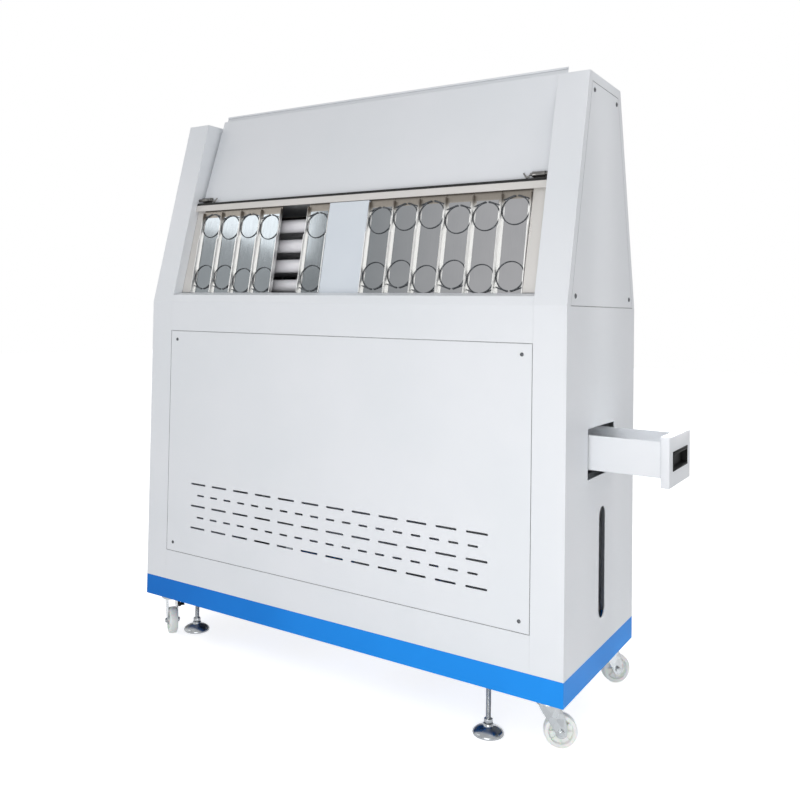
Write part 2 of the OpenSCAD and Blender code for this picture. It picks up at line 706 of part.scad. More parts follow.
tray_z = drawer_z - 36;
rail_t = 2;
rail_h = 34;
rail_y = tray_w / 2 + 0.5;
rail_foot = 12;
rail_x1 = half_w - face_t - slip;
rail_low = tray_z - slip - rail_t;
rail_top = tray_z + rail_h;
bracket_y = face_w / 2 + 2 * seam;
bracket_x = half_w - sheet;
module drawer_runners() color("gray") translate([0, -drawer_fwd, 0]) {
    for (m = [0, 1]) mirror([0, m, 0]) {
        box(tank_x0, rail_x1, rail_y, rail_y + rail_t, rail_low, rail_top);
        box(tank_x0, rail_x1, rail_y - rail_foot, rail_y + rail_t, rail_low, rail_low + rail_t);
        box(rail_x1 - rail_t, rail_x1, rail_y, bracket_y + rail_t, rail_low, rail_top);
        box(rail_x1 - rail_t, bracket_x, bracket_y, bracket_y + rail_t, rail_low, rail_top);
        box(bracket_x - rail_t, bracket_x, bracket_y, bracket_y + 22, rail_low, rail_top);
    }
    box(tank_x0, tank_x0 + rail_t, -rail_y - rail_t, rail_y + rail_t, tank_top, rail_top);
}

// WATER DRAWER, drawn pulled out as it stands at rest
face_in = half_w - face_t + drawer_travel;
tray_t = 2;
spout_r = 9;
spout_x = face_in - tray_len + 22;
pull_d = 14;
module fill_drawer() color("white") translate([0, -drawer_fwd, 0]) {
    difference() {
        union() {
            box(face_in - tray_len, face_in, -tray_w / 2, tray_w / 2, tray_z, tray_z + tray_h);
            translate([spout_x, 0, tray_z - 16]) cylinder(h = 17, r = spout_r);
        }
        box(face_in - tray_len + tray_t, face_in - tray_t, -tray_w / 2 + tray_t, tray_w / 2 - tray_t,
            tray_z + tray_t, tray_z + tray_h + eps);
        translate([spout_x, 0, tray_z - 16 - eps]) cylinder(h = 17 + 4, r = spout_r - 2);
    }
    difference() {
        box(face_in, face_in + face_t, -face_w / 2, face_w / 2, drawer_z - face_h / 2, drawer_z + face_h / 2);
        box(face_in + tray_t, face_in + face_t - tray_t, -face_w / 2 + tray_t, face_w / 2 - tray_t,
            drawer_z - face_h / 2 + tray_t, drawer_z + face_h / 2 - tray_t);
        box(face_in + tray_t, face_in + face_t + eps, -pull_w / 2, pull_w / 2,
            drawer_z - pull_h / 2, drawer_z + pull_h / 2);
    }
}
module drawer_pull() color("black") translate([face_in + face_t, -drawer_fwd, drawer_z]) difference() {
    union() {
        box(-pull_d, 0, -pull_w / 2 + slip, pull_w / 2 - slip, -pull_h / 2 + slip, pull_h / 2 - slip);
        box(0, 1.2, -pull_w / 2 - 2, pull_w / 2 + 2, -pull_h / 2 - 2, pull_h / 2 + 2);
    }
    box(-pull_d + 2, 2, -pull_w / 2 + 3, pull_w / 2 - 3, -pull_h / 2 + 3, pull_h / 2 - 8);
    box(-pull_d + 2, -3, -pull_w / 2 + 3, pull_w / 2 - 3, -pull_h / 2 + 3, pull_h / 2 - 3);
}

// BLOWER: housing with its duct, motor and squirrel-cage wheel
fan_x = -380;
fan_z = body_z + 118;
fan_r = 95;
fan_w = 84;
duct_w = 90;
wheel_fan_r = 66;
blade_n = 24;
shaft_r = 5;
motor_r = 42;
duct_top = pan_top - pan_h - 30;
module blower_housing() color("darkgray") translate([fan_x, 0, 0]) difference() {
    union() {
        translate([0, 0, fan_z]) rod_y(-fan_w / 2, fan_w / 2, fan_r);
        box(-fan_r, -fan_r + duct_w, -fan_w / 2, fan_w / 2, fan_z, duct_top);
        box(-60, 60, -fan_w / 2, fan_w / 2, body_z, fan_z - fan_r + 20);
    }
    translate([0, 0, fan_z]) rod_y(-fan_w / 2 + sheet, fan_w / 2 - sheet, fan_r - sheet);
    box(-fan_r + sheet, -fan_r + duct_w - sheet, -fan_w / 2 + sheet, fan_w / 2 - sheet, fan_z, duct_top + eps);
    translate([0, 0, fan_z]) rod_y(-fan_w / 2 - eps, 0, 48);
    translate([0, 0, fan_z]) rod_y(0, fan_w / 2 + eps, shaft_r + 4);
    box(-60 + sheet, 60 - sheet, -fan_w / 2 - eps, fan_w / 2 + eps, body_z + sheet, fan_z - fan_r - 2);
}
motor_len = 96;
module blower_motor() color("dimgray") translate([fan_x, 0, fan_z]) difference() {
    rod_y(fan_w / 2, fan_w / 2 + motor_len, motor_r);
    rod_y(fan_w / 2 - eps, fan_w / 2 + 40, shaft_r + run);
}
module blower_wheel() color("silver") translate([fan_x, 0, fan_z]) {
    rod_y(-28, fan_w / 2 + 38, shaft_r);
    rod_y(20, 24, wheel_fan_r);
    rod_y(-2, 24, 14);
    difference() {
        rod_y(-32, -28, wheel_fan_r);
        rod_y(-33, -27, wheel_fan_r - 14);
    }
    for (i = [0:blade_n - 1]) rotate([0, i * 360 / blade_n, 0]) translate([wheel_fan_r - 13, -30, -0.6])
        rotate([0, 20, 0]) cube([12, 52, 1.2]);
}

// CONTROL PANEL on the left end cover
ctl_z = knee_z + 250;
ctl_w = 200;
ctl_h = 280;
ctl_t = 4;
screen_w = 160;
screen_h = 100;
stop_r = 16;
low_z = -90;
stop_y = -48;
power_y = 52;
press = 4;
stem_r = 6;
module control_panel() color("whitesmoke") left() translate([half_w, 0, ctl_z]) difference() {
    union() {
        box(0, ctl_t, -ctl_w / 2, ctl_w / 2, -ctl_h / 2, ctl_h / 2);
        box(ctl_t, ctl_t + 3, -screen_w / 2, screen_w / 2, 10, 10 + screen_h);
        translate([0, stop_y, low_z]) rod_x(ctl_t, ctl_t + 5, stop_r + 4);
        translate([0, power_y, low_z]) box(ctl_t, ctl_t + 7, -16, 16, -21, 21);
    }
    box(ctl_t + 2, ctl_t + 4, -screen_w / 2 + 8, screen_w / 2 - 8, 18, 2 + screen_h);
    translate([0, stop_y, low_z]) rod_x(1, ctl_t + 6, stem_r + run);
    translate([0, power_y, low_z]) {
        box(2, ctl_t + 8, -11, 11, -16, 16);
        translate([ctl_t + 3, 0, 0]) rod_y(-13, 13, 1.5 + run);
    }
}
module emergency_stop() color("red") left() translate([half_w, stop_y, ctl_z + low_z]) {
    rod_x(1 + press + slip, ctl_t + 5 + press + 1, stem_r);
    rod_x(ctl_t + 5 + press + slip, ctl_t + 14 + press, stop_r);
    rod_x(ctl_t + 13 + press, ctl_t + 17 + press, stop_r - 3);
}
module power_switch() color("black") left() translate([half_w + ctl_t + 3, power_y, ctl_z + low_z])
    rotate([0, 8, 0]) {
        box(-2, 3, -10.5, 10.5, -14.5, 14.5);
        rod_y(-12.5, 12.5, 1.5);
    }

// CABLE GLAND in the rear band
gland_x = -450;
gland_z = body_z + 42;
gland_r = 10;
cable_r = 5;
module cable_gland() color("dimgray") translate([gland_x, 0, gland_z]) difference() {
    union() {
        rod_y(half_d - 16, half_d + 18, gland_r - run);
        translate([0, half_d, 0]) rotate([-90, 0, 0]) cylinder(h = 7, r = gland_r + 5, $fn = 6);
        translate([0, half_d - sheet - 6, 0]) rotate([-90, 0, 0]) cylinder(h = 6, r = gland_r + 5, $fn = 6);
    }
    rod_y(half_d - 16 - eps, half_d + 18 + eps, cable_r);
}

// DOORS, drawn closed about their pivot
door_x = wall_x - door_gap;
skin_t = 1.5;
pan_side = 6;
module door() color("whitesmoke") difference() {
    union() {
        box(-door_x, door_x, -skin_len, heel_len, axis_d - skin_t, axis_d);
        box(-door_x + pan_side, door_x - pan_side, -pan_len, heel_len, axis_d - door_t, axis_d);
    }
    box(-door_x + pan_side + skin_t, door_x - pan_side - skin_t, -pan_len + skin_t, heel_len + eps,
        axis_d - door_t + skin_t, axis_d - skin_t);
}
inner_z = axis_d - door_t;
barrel_x1 = door_x - 10;
barrel_x0 = barrel_x1 - barrel_len;
module door_bolts() color("gray") for (m = [0, 1]) mirror([m, 0, 0]) difference() {
    union() {
        rod_x(barrel_x0, barrel_x1, barrel_r);
        box(barrel_x0, barrel_x1, -barrel_r - 3, barrel_r + 3, inner_z - 1.5, inner_z);
        box(barrel_x0, barrel_x1, -barrel_r, barrel_r, 2, inner_z);
    }
    rod_x(barrel_x0 - eps, barrel_x1 + eps, pin_r + run);
}
tail_r = 2;
tail_x = barrel_x0 - 4;
tail_a = [tail_x - 9, 8];
tail_b = [tail_x - 19, -5];
module seg(a, b, r) translate([a[0], a[1], 0])
    rotate([0, 0, atan2(b[1] - a[1], b[0] - a[0])]) rod_x(0, norm(b - a), r);
module pin() color("dimgray") {
    rod_x(tail_x - tail_r, wall_x + sheet + 5, pin_r);
    seg([tail_x, 0], tail_a, tail_r);
    translate([tail_a[0], tail_a[1], 0]) sphere(r = tail_r + 0.5, $fn = 24);
    seg(tail_a, tail_b, tail_r);
}

module front_open() at_axis() rotate([-open_angle, 0, 0]) children();
module rear_closed() rear() at_axis() children();
module front_door() front_open() door();
module front_door_bolts() front_open() door_bolts();
module front_pin_right() front_open() pin();
module front_pin_left() front_open() left() pin();
module rear_door() rear_closed() door();
module rear_door_bolts() rear_closed() door_bolts();
module rear_pin_right() rear_closed() pin();
module rear_pin_left() rear_closed() left() pin();

base_frame();
caster_plates();
front_surround();
rear_surround();
end_frame_left();
end_frame_right();
end_cover_left();
end_cover_right();
upper_housing();
front_rack_frame();
rear_rack_frame();
window_seals();
front_service_panel();
rear_service_panel();
panel_screws();
water_pan();
water_heater();
lamp_tubes();
lamp_sockets();
ballasts();
water_tank();
sight_tube();
sight_fittings();
drawer_runners();
front_holders();
rear_holders();
specimen_panels();
retaining_rings();
blank_plates();
blower_housing();
blower_motor();
blower_wheel();
control_panel();
power_switch();
emergency_stop();
cable_gland();
front_door();
front_door_bolts();
front_pin_left();
front_pin_right();
rear_door();
rear_door_bolts();
rear_pin_left();
rear_pin_right();
fill_drawer();
drawer_pull();
at_caster(-1, -1, trail_fl) fork(true);  // fork_fl
at_caster(1, -1, trail_fr) fork();  // fork_fr
at_caster(-1, 1, trail_bl) fork(true);  // fork_bl
at_caster(1, 1, trail_br) fork();  // fork_br
at_caster(-1, -1, trail_fl) wheel();  // wheel_fl
at_caster(1, -1, trail_fr) wheel();  // wheel_fr
at_caster(-1, 1, trail_bl) wheel();  // wheel_bl
at_caster(1, 1, trail_br) wheel();  // wheel_br
at_caster(-1, -1, trail_fl) brake();  // brake_fl
at_caster(-1, 1, trail_bl) brake();  // brake_bl
foot(-1, -1, foot_up);  // foot_fl
foot(1, -1, foot_low);  // foot_fr
foot(-1, 1, foot_up);  // foot_bl
foot(1, 1, foot_up);  // foot_br
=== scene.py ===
import json
from math import atan, cos, pi, radians, sin

import bmesh
import bpy
from mathutils import Matrix, Vector


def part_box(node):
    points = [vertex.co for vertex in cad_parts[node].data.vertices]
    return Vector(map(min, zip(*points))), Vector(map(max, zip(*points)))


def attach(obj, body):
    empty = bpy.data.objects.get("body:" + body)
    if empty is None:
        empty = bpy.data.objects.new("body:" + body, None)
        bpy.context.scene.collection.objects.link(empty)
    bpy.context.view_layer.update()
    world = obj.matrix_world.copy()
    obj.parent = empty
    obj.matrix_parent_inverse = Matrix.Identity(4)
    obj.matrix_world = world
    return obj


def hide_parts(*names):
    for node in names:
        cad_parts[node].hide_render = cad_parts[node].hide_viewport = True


bl_info = {
    "name": "Environmental test chamber",
    "version": (1, 0, 0),
    "blender": (4, 5, 0),
    "location": "3D View > Sidebar > Chamber",
    "description": "Finishes and detail pieces of an ultraviolet weathering chamber",
    "category": "Object",
}

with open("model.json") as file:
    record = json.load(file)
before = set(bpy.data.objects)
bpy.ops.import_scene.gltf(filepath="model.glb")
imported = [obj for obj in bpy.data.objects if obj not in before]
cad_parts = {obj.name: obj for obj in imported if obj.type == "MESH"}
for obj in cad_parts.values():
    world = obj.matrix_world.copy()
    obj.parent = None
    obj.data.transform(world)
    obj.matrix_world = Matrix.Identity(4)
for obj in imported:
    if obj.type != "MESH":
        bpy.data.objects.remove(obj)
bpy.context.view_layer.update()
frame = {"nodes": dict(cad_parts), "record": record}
MM = 0.001

# Places that the pieces below share with the solids, in metres
# The height where the slope begins, half the cabinet's depth and width, and the slope's angle from upright
KNEE_Z = 0.9885
HALF_D = 0.255
HALF_W = 0.650
TILT = atan(0.1386 / 0.5565)
# The rack's angle to the slope, its foot's distance up the slope, and its depth behind it
RACK_LEAN = radians(3.5)
RACK_S = 0.0377
RACK_D = 0.046
# The doors' axis: its distance up the slope and its depth behind it, and how far the front door stands open
AXIS_S = 0.330
AXIS_D = 0.027
OPEN_ANGLE = radians(184)

move = Matrix.Translation


def turn(angle, axis):
    return Matrix.Rotation(angle, 4, axis)


ON_SLOPE = move((0, -HALF_D, KNEE_Z)) @ turn(pi / 2 - TILT, "X")
ON_RACK = ON_SLOPE @ move((0, RACK_S, -RACK_D)) @ turn(RACK_LEAN, "X")
AT_AXIS = ON_SLOPE @ move((0, AXIS_S, -AXIS_D))
HERE = Matrix.Identity(4)
REAR = Matrix.Scale(-1, 4, (0, 1, 0))
LEFT = Matrix.Scale(-1, 4, (1, 0, 0))
DOORS = (("front", AT_AXIS @ turn(-OPEN_ANGLE, "X")), ("rear", REAR @ AT_AXIS))
# Lamps in one bank, the lowest one's place up the rack, the step between them, and their depth behind it
LAMPS = (4, 0.031, 0.0592, -0.045)

# Where each caster swivels, and how far it is turned
CASTERS = {
    "fl": (-0.597, -0.205, radians(-35)),
    "fr": (0.597, -0.205, radians(30)),
    "bl": (-0.597, 0.205, radians(60)),
    "br": (0.597, 0.205, radians(45)),
}
# A caster: its fork leg's inner face from the middle, its axle's trail and height, and its brake's pivot
FORK_LEG = 0.0130
CASTER_TRAIL = 0.027
AXLE_Z = 0.0375
BRAKE_AT = (0.004, 0.0795)
BRAKED = ("fl", "bl")
# Where each levelling foot's pad stands; the front right one is screwed down
FEET = {
    "fl": (-0.463, -0.232, 0.036),
    "fr": (0.463, -0.232, 0.001),
    "bl": (-0.463, 0.232, 0.036),
    "br": (0.463, 0.232, 0.036),
}

# How far the finishes round off the edges of folded sheet, and of all other pieces
FOLD_RADIUS = 1.6 * MM
EDGE_RADIUS = 0.8 * MM

# Left edge of each specimen holder, and the heights of its two rings, in millimetres as the solids have them
FRONT_HOLDERS = [
    (-538.1, 246, 88), (-461.7, 238, 87), (-385.3, 240, 76), (-308.9, 233, 78), (-137.0, 231, 81),
    (68.5, 235, 86), (144.9, 241, 90), (221.3, 243, 75), (297.7, 227, 87), (374.1, 231, 75), (450.5, 243, 81),
]
REAR_HOLDERS = [(x, 238, 87) for x in (
    -519.5, -443.1, -366.7, -290.3, -213.9, -137.5, 62.0, 138.4, 214.8, 291.2, 367.6, 444.0)]
HOLDER_W = 0.0755
# Screws: a service panel's, left and right of the middle, and their heights; then an end cover's (y, height)
SCREW_X = 0.545
PANEL_SCREW_Z = (0.2804, 0.8768)
COVER_SCREWS = ((0.2039, 1.0105), (0.0849, 1.504))

# The photograph's camera: place in metres, angles in degrees, lens in millimetres, and the picture's shift
CAMERA_AT = (1.3123, -2.0656, 0.9673)
CAMERA_ANGLES = (-33.69, 1.62, 0.96)
CAMERA_LENS = 38.44
CAMERA_SHIFT = (0.0489, -0.1406)
# Each light's name, place, target, width, height, power in watts and beam
LIGHTS = (
    ("key", (1.05, -2.2, 0.36), (0.45, 0, 0.55), 1.2, 1.2, 24.2, pi),
    ("fill", (-3.0, -1.6, 1.4), (0, 0, 0.8), 2.4, 2.4, 7, pi),
    ("back", (-0.8, 3.2, 1.6), (0, 0, 0.9), 2.4, 2.4, 22, pi),
    ("window", (-2.06, -1.85, 2.22), (-0.3, -0.17, 1.2), 0.85, 0.34, 3.0, pi),
    ("top", (0.95, -0.1, 2.5), (0.8, 0, 0.7), 0.7, 0.7, 3, pi),
    ("drawer", (0.76, -0.03, 2.4), (0.76, 0, 0.62), 0.15, 0.15, 0.5, radians(12)),
)


# Small tools for materials

def linear(text):
    """An sRGB hex colour as linear values with alpha 1."""
    values = [int(text[i:i + 2], 16) / 255 for i in (1, 3, 5)]
    return [v / 12.92 if v <= 0.04045 else ((v + 0.055) / 1.055) ** 2.4 for v in values] + [1.0]


def add(tree, kind, inputs=None, **settings):
    """Adds a node with its settings, and its inputs as values or links."""
    made = tree.nodes.new(kind)
    for key, value in settings.items():
        setattr(made, key, value)
    for key, value in (inputs or {}).items():
        if isinstance(value, bpy.types.NodeSocket):
            tree.links.new(value, made.inputs[key])
        else:
            made.inputs[key].default_value = value
    return made


def empty_tree(owner):
    """The node tree of a material or world, with nothing in it."""
    owner.use_nodes = True
    owner.node_tree.nodes.clear()
    return owner.node_tree


def seen_directly(tree):
    """One where the camera, a mirror image or a view through clear matter meets it, else nought."""
    path = add(tree, "ShaderNodeLightPath")
    seen = add(tree, "ShaderNodeMath", {0: path.outputs["Is Camera Ray"], 1: path.outputs["Is Glossy Ray"]},
               operation="MAXIMUM")
    return add(tree, "ShaderNodeMath", {0: seen.outputs[0], 1: path.outputs["Is Transmission Ray"]},
               operation="MAXIMUM").outputs[0]


def begin(name):
    """A new material: its tree, its shader and its object coordinates."""
    material = bpy.data.materials.new(name)
    tree = empty_tree(material)
    shader = add(tree, "ShaderNodeBsdfPrincipled")
    add(tree, "ShaderNodeOutputMaterial", {"Surface": shader.outputs["BSDF"]})
    place = add(tree, "ShaderNodeTexCoord").outputs["Object"]
    return material, tree, shader, place


def set_values(shader, **values):
    for key, value in values.items():
        shader.inputs[key.replace("_", " ")].default_value = value


def adjust(material, **values):
    """Sets constants on a finished material's shader."""
    set_values(material.node_tree.nodes["Principled BSDF"], **values)


def blend(tree, factor, colour, shade):
    return add(tree, "ShaderNodeMixRGB", {"Fac": factor, "Color1": colour, "Color2": shade})


def connect(tree, shader, colour, gloss, height, strength, depth_mm, radius=0.0):
    """Links colour and gloss to a shader, with a bump of some depth over edges rounded by a radius."""
    bump = add(tree, "ShaderNodeBump", {
        "Height": height.outputs["Fac"], "Strength": strength, "Distance": depth_mm * MM})
    if radius:
        edge = add(tree, "ShaderNodeBevel", {"Radius": radius}, samples=4)
        tree.links.new(edge.outputs["Normal"], bump.inputs["Normal"])
    tree.links.new(colour.outputs["Color"], shader.inputs["Base Color"])
    tree.links.new(gloss.outputs["Result"], shader.inputs["Roughness"])
    tree.links.new(bump.outputs["Normal"], shader.inputs["Normal"])


def tint_along_axis(material, axis, start, end, tint):
    """Tints a finish along one axis, from nothing at the start to the full tint at the end; the base and the
    holders use it for painted shade.
    """
    tree = material.node_tree
    shader = tree.nodes["Principled BSDF"]
    parts = add(tree, "ShaderNodeSeparateXYZ", {"Vector": tree.nodes["Texture Coordinate"].outputs["Object"]})
    way = add(tree, "ShaderNodeMapRange", {"Value": parts.outputs[axis], "From Min": start, "From Max": end},
              interpolation_type="SMOOTHSTEP")
    mix = add(tree, "ShaderNodeMixRGB", {
        "Fac": way.outputs["Result"], "Color1": shader.inputs["Base Color"].links[0].from_socket,
        "Color2": linear(tint)}, blend_type="MULTIPLY")
    tree.links.new(mix.outputs["Color"], shader.inputs["Base Color"])


def powder_coat(name, colour, shade, rough):
    """Baked powder coat on sheet steel: fine orange peel, faint clouds, rounded edges and painted shade in
    gaps and crevices.
    """
    material, tree, shader, place = begin(name)
    # Orange peel is about 1.5 mm from crest to crest; it is drawn at 5 mm so that it shows
    peel = add(tree, "ShaderNodeTexNoise", {"Vector": place, "Scale": 1 / (5 * MM), "Detail": 2.0})
    # Film thickness drifts over about 300 mm and clouds the colour
    cloud = add(tree, "ShaderNodeTexNoise", {"Vector": place, "Scale": 1 / 0.3, "Detail": 3.0})
    drift = add(tree, "ShaderNodeMapRange", {
        "Value": cloud.outputs["Fac"], "From Min": 0.35, "From Max": 0.65})
    mix = blend(tree, drift.outputs["Result"], linear(colour), linear(shade))
    gloss = add(tree, "ShaderNodeMapRange", {
        "Value": peel.outputs["Fac"], "To Min": rough - 0.05, "To Max": rough + 0.05})
    # Painted shade: wherever other surfaces close in within 7 mm the colour goes dark, as gaps between panels
    # and the rail's underside fall into shade
    painted_shade_occlusion = add(tree, "ShaderNodeAmbientOcclusion", {"Distance": 7 * MM}, samples=6)
    painted_gap_shade = add(tree, "ShaderNodeMapRange", {"Value": painted_shade_occlusion.outputs["AO"], "From Min": 0.12, "From Max": 0.52})
    mix = blend(tree, painted_gap_shade.outputs["Result"], linear("#55575A"), mix.outputs["Color"])
    connect(tree, shader, mix, gloss, peel, 0.25, 0.1, FOLD_RADIUS)
    return material


def plated(name, colour, shade, rough, patch_mm):
    """Plated or galvanised steel: metal with crystals or clouds that differ a little in tone and gloss."""
    material, tree, shader, place = begin(name)
    set_values(shader, Metallic=1.0)
    cells = add(tree, "ShaderNodeTexVoronoi", {"Vector": place, "Scale": 1 / (patch_mm * MM)})
    grey = add(tree, "ShaderNodeSeparateColor", {"Color": cells.outputs["Color"]})
    fine = add(tree, "ShaderNodeTexNoise", {"Vector": place, "Scale": 1 / (2.5 * MM), "Detail": 4.0})
    mix = blend(tree, grey.outputs["Red"], linear(colour), linear(shade))
    gloss = add(tree, "ShaderNodeMapRange", {
        "Value": grey.outputs["Green"], "To Min": rough - 0.06, "To Max": rough + 0.08})
    connect(tree, shader, mix, gloss, fine, 0.15, 0.05, EDGE_RADIUS)
    return material


def brushed(name, colour, shade, rough, grain):
    """Brushed or rolled metal: fine streaks along the grain, which stretch the highlights."""
    material, tree, shader, place = begin(name)
    set_values(shader, Metallic=1.0)
    stretch = add(tree, "ShaderNodeMapping", {"Vector": place, "Scale": grain})
    streak = add(tree, "ShaderNodeTexNoise", {
        "Vector": stretch.outputs["Vector"], "Scale": 1.0, "Detail": 3.0})
    cloud = add(tree, "ShaderNodeTexNoise", {"Vector": place, "Scale": 1 / (60 * MM), "Detail": 2.0})
    tone = add(tree, "ShaderNodeMath", {0: streak.outputs["Fac"], 1: cloud.outputs["Fac"], 2: 0.15},
               operation="MULTIPLY_ADD")
    mix = blend(tree, tone.outputs["Value"], linear(colour), linear(shade))
    gloss = add(tree, "ShaderNodeMapRange", {
        "Value": streak.outputs["Fac"], "From Min": 0.3, "From Max": 0.7,
        "To Min": rough - 0.07, "To Max": rough + 0.07})
    connect(tree, shader, mix, gloss, streak, 0.12, 0.03)
    return material


def moulded(name, colour, shade, rough, grit_mm=1.2, depth_mm=0.04):
    """Moulded plastic or rubber: a fine spark-eroded grain and slightly uneven gloss."""
    material, tree, shader, place = begin(name)
    grit = add(tree, "ShaderNodeTexNoise", {"Vector": place, "Scale": 1 / (grit_mm * MM), "Detail": 3.0})
    cloud = add(tree, "ShaderNodeTexNoise", {"Vector": place, "Scale": 1 / (30 * MM), "Detail": 2.0})
    mix = blend(tree, cloud.outputs["Fac"], linear(colour), linear(shade))
    gloss = add(tree, "ShaderNodeMapRange", {
        "Value": grit.outputs["Fac"], "To Min": rough - 0.06, "To Max": rough + 0.06})
    connect(tree, shader, mix, gloss, grit, 0.3, depth_mm, EDGE_RADIUS)
    return material


FINISHES = {}


def make_finishes(colours):
    """Makes every finish of the chamber once."""
    if FINISHES:
        return
    # White powder coat: slightly blue, satin
    FINISHES["cabinet_white"] = powder_coat("white_powder_coat", colours.cabinet_hex, "#E2E5E8", 0.42)
    # Blue powder coat: saturated and nearly matt
    FINISHES["base_blue"] = powder_coat("blue_powder_coat", colours.base_hex, "#1D8EEA", 0.5)
    adjust(FINISHES["base_blue"], Specular_IOR_Level=0.15)
    # Painted shade: the base is tinted darker towards its left end, standing in for the weaker light there
    tint_along_axis(FINISHES["base_blue"], "X", 0.4, -0.65, "#BCCBDC")
    # Cream stoved enamel, duller than the white
    FINISHES["rail_cream"] = powder_coat("cream_enamel", colours.rail_hex, "#D5D2CD", 0.5)
    # Bluish white paint on the blank plate
    FINISHES["blank_white"] = powder_coat("bluish_white_paint", "#DCE2E8", "#D5DCE3", 0.38)
    # Light grey powder coat of the control panel
    FINISHES["control_grey"] = powder_coat("light_grey_powder_coat", "#BFC3C7", "#B9BDC2", 0.45)
    # Dark hammered enamel on the motor
    FINISHES["motor_grey"] = powder_coat("dark_grey_enamel", "#34373B", "#2D3034", 0.35)
    # Bright zinc plate: bluish grey with faint clouds
    FINISHES["zinc"] = plated("bright_zinc_plate", "#B3B7B9", "#A2A5A7", 0.24, 14.0)
    # Hot-dip galvanised sheet: spangles about 15 mm across
    FINISHES["galvanised"] = plated("galvanised_sheet", "#B4B9BB", "#9FA5A8", 0.36, 15.0)
    # Fine brushed stainless steel, grain along the piece
    FINISHES["stainless"] = brushed(
        "brushed_stainless_steel", "#747371", "#666563", 0.3, (30.0, 900.0, 900.0))
    # Oil-blackened steel screws
    FINISHES["black_steel"] = plated("blackened_steel", "#66686B", "#57595C", 0.34, 4.0)
    # Hard-drawn spring wire, dull grey
    FINISHES["spring_wire"] = plated("drawn_spring_wire", "#5A5D61", "#46484B", 0.3, 5.0)
    # Dull chrome plate with handling smears
    FINISHES["foot_chrome"] = plated("dull_chrome_plate", "#A9ACAE", "#9A9DA0", 0.26, 25.0)
    # Clear anodised aluminium, bright and satin
    FINISHES["holder_aluminium"] = brushed(
        "clear_anodised_aluminium", "#F6F6F5", "#ECECEA", 0.45, (700.0, 30.0, 30.0))
    # Painted shadow: the holders' tops close under the rail are tinted a darker greyish beige, standing in
    # for the rail's shadow
    tint_along_axis(FINISHES["holder_aluminium"], "Z", 1.222, 1.250, "#938D86")
    # Mill finish aluminium test panel: rolling marks along its length give a soft streaky mirror
    FINISHES["specimen_aluminium"] = brushed(
        "mill_finish_aluminium", "#AAAAAC", "#96979A", 0.12, (900.0, 25.0, 25.0))
    # The panels are tinted darker towards the left
    tint_along_axis(FINISHES["specimen_aluminium"], "X", 0.5, -0.1, "#BCC3C5")
    # Phosphor coat seen through the lamp's glass: chalky and pale lilac under a clear gloss
    FINISHES["lamp_glass"] = moulded("phosphor_coated_glass", "#F3F2F4", "#EAE9EE", 0.3, 3.0, 0.01)
    adjust(FINISHES["lamp_glass"], Coat_Weight=0.6, Coat_Roughness=0.05)
    # Extruded acrylic tube: milky from the water behind it, and glossy
    FINISHES["clear_acrylic"] = moulded("milky_acrylic_tube", "#FBFCFD", "#F3F5F7", 0.12, 6.0, 0.01)
    # Moulded plastics of the sockets, the fittings, and the pull and brake levers, which are nearly matt
    FINISHES["socket_plastic"] = moulded("white_moulded_plastic", "#E3E3DE", "#DADAD4", 0.42)
    FINISHES["grey_plastic"] = moulded("dark_grey_moulded_plastic", "#2B2C2E", "#232426", 0.45)
    FINISHES["black_plastic"] = moulded("black_moulded_plastic", "#060606", "#030303", 0.6)
    adjust(FINISHES["black_plastic"], Specular_IOR_Level=0.15)
    # Natural nylon: milky, because light goes a few millimetres into it
    FINISHES["wheel_nylon"] = moulded("natural_nylon", "#F2F4F0", "#E8EBE7", 0.34)
    adjust(FINISHES["wheel_nylon"], Subsurface_Weight=0.25, Subsurface_Scale=0.004)
    # Natural polyethylene of the tank, waxy
    FINISHES["tank_plastic"] = moulded("natural_polyethylene", "#D9DCDD", "#CED2D4", 0.48, 2.5, 0.08)
    # Glossy red button
    FINISHES["red_plastic"] = moulded("glossy_red_plastic", "#C3151A", "#B01216", 0.2, 3.0, 0.02)
    # Dark glass over the touch screen, and its lit fields
    FINISHES["screen_glass"] = moulded("dark_screen_glass", "#0B1016", "#0E141B", 0.08, 6.0, 0.002)
    FINISHES["screen_field"] = moulded("lit_screen_field", "#3E6E8E", "#4B7C9B", 0.2, 6.0, 0.002)
    # Black sponge rubber seal, matt
    FINISHES["seal_rubber"] = moulded("black_seal_rubber", "#0D0D0D", "#151515", 0.75, 0.8, 0.1)


# Small tools for pieces

def new_piece(name, shape, body, slot, replaces, flat_angle=35):
    """Turns a finished bmesh into an object that rides on a CAD body and takes its slot's finish."""
    mesh = bpy.data.meshes.new(name)
    bmesh.ops.recalc_face_normals(shape, faces=shape.faces)
    shape.to_mesh(mesh)
    shape.free()
    mesh.polygons.foreach_set("use_smooth", [True] * len(mesh.polygons))
    mesh.set_sharp_from_angle(angle=radians(flat_angle))
    made = bpy.data.objects.new(name, mesh)
    bpy.context.scene.collection.objects.link(made)
    mesh.materials.append(FINISHES[slot])
    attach(made, body)
    if replaces:
        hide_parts(*replaces)


def edges_of(verts):
    return list({e for v in verts for e in v.link_edges})


def round_off(shape, verts, edges, radius, segments=2):
    """Rounds edges between vertices, and gives back those that are left with the new ones."""
    result = bmesh.ops.bevel(shape, geom=edges, offset=radius, offset_type="OFFSET", affect="EDGES",
                             segments=segments, profile=0.5, material=-1)
    return list({v for f in result["faces"] for v in f.verts} | {v for v in verts if v.is_valid})


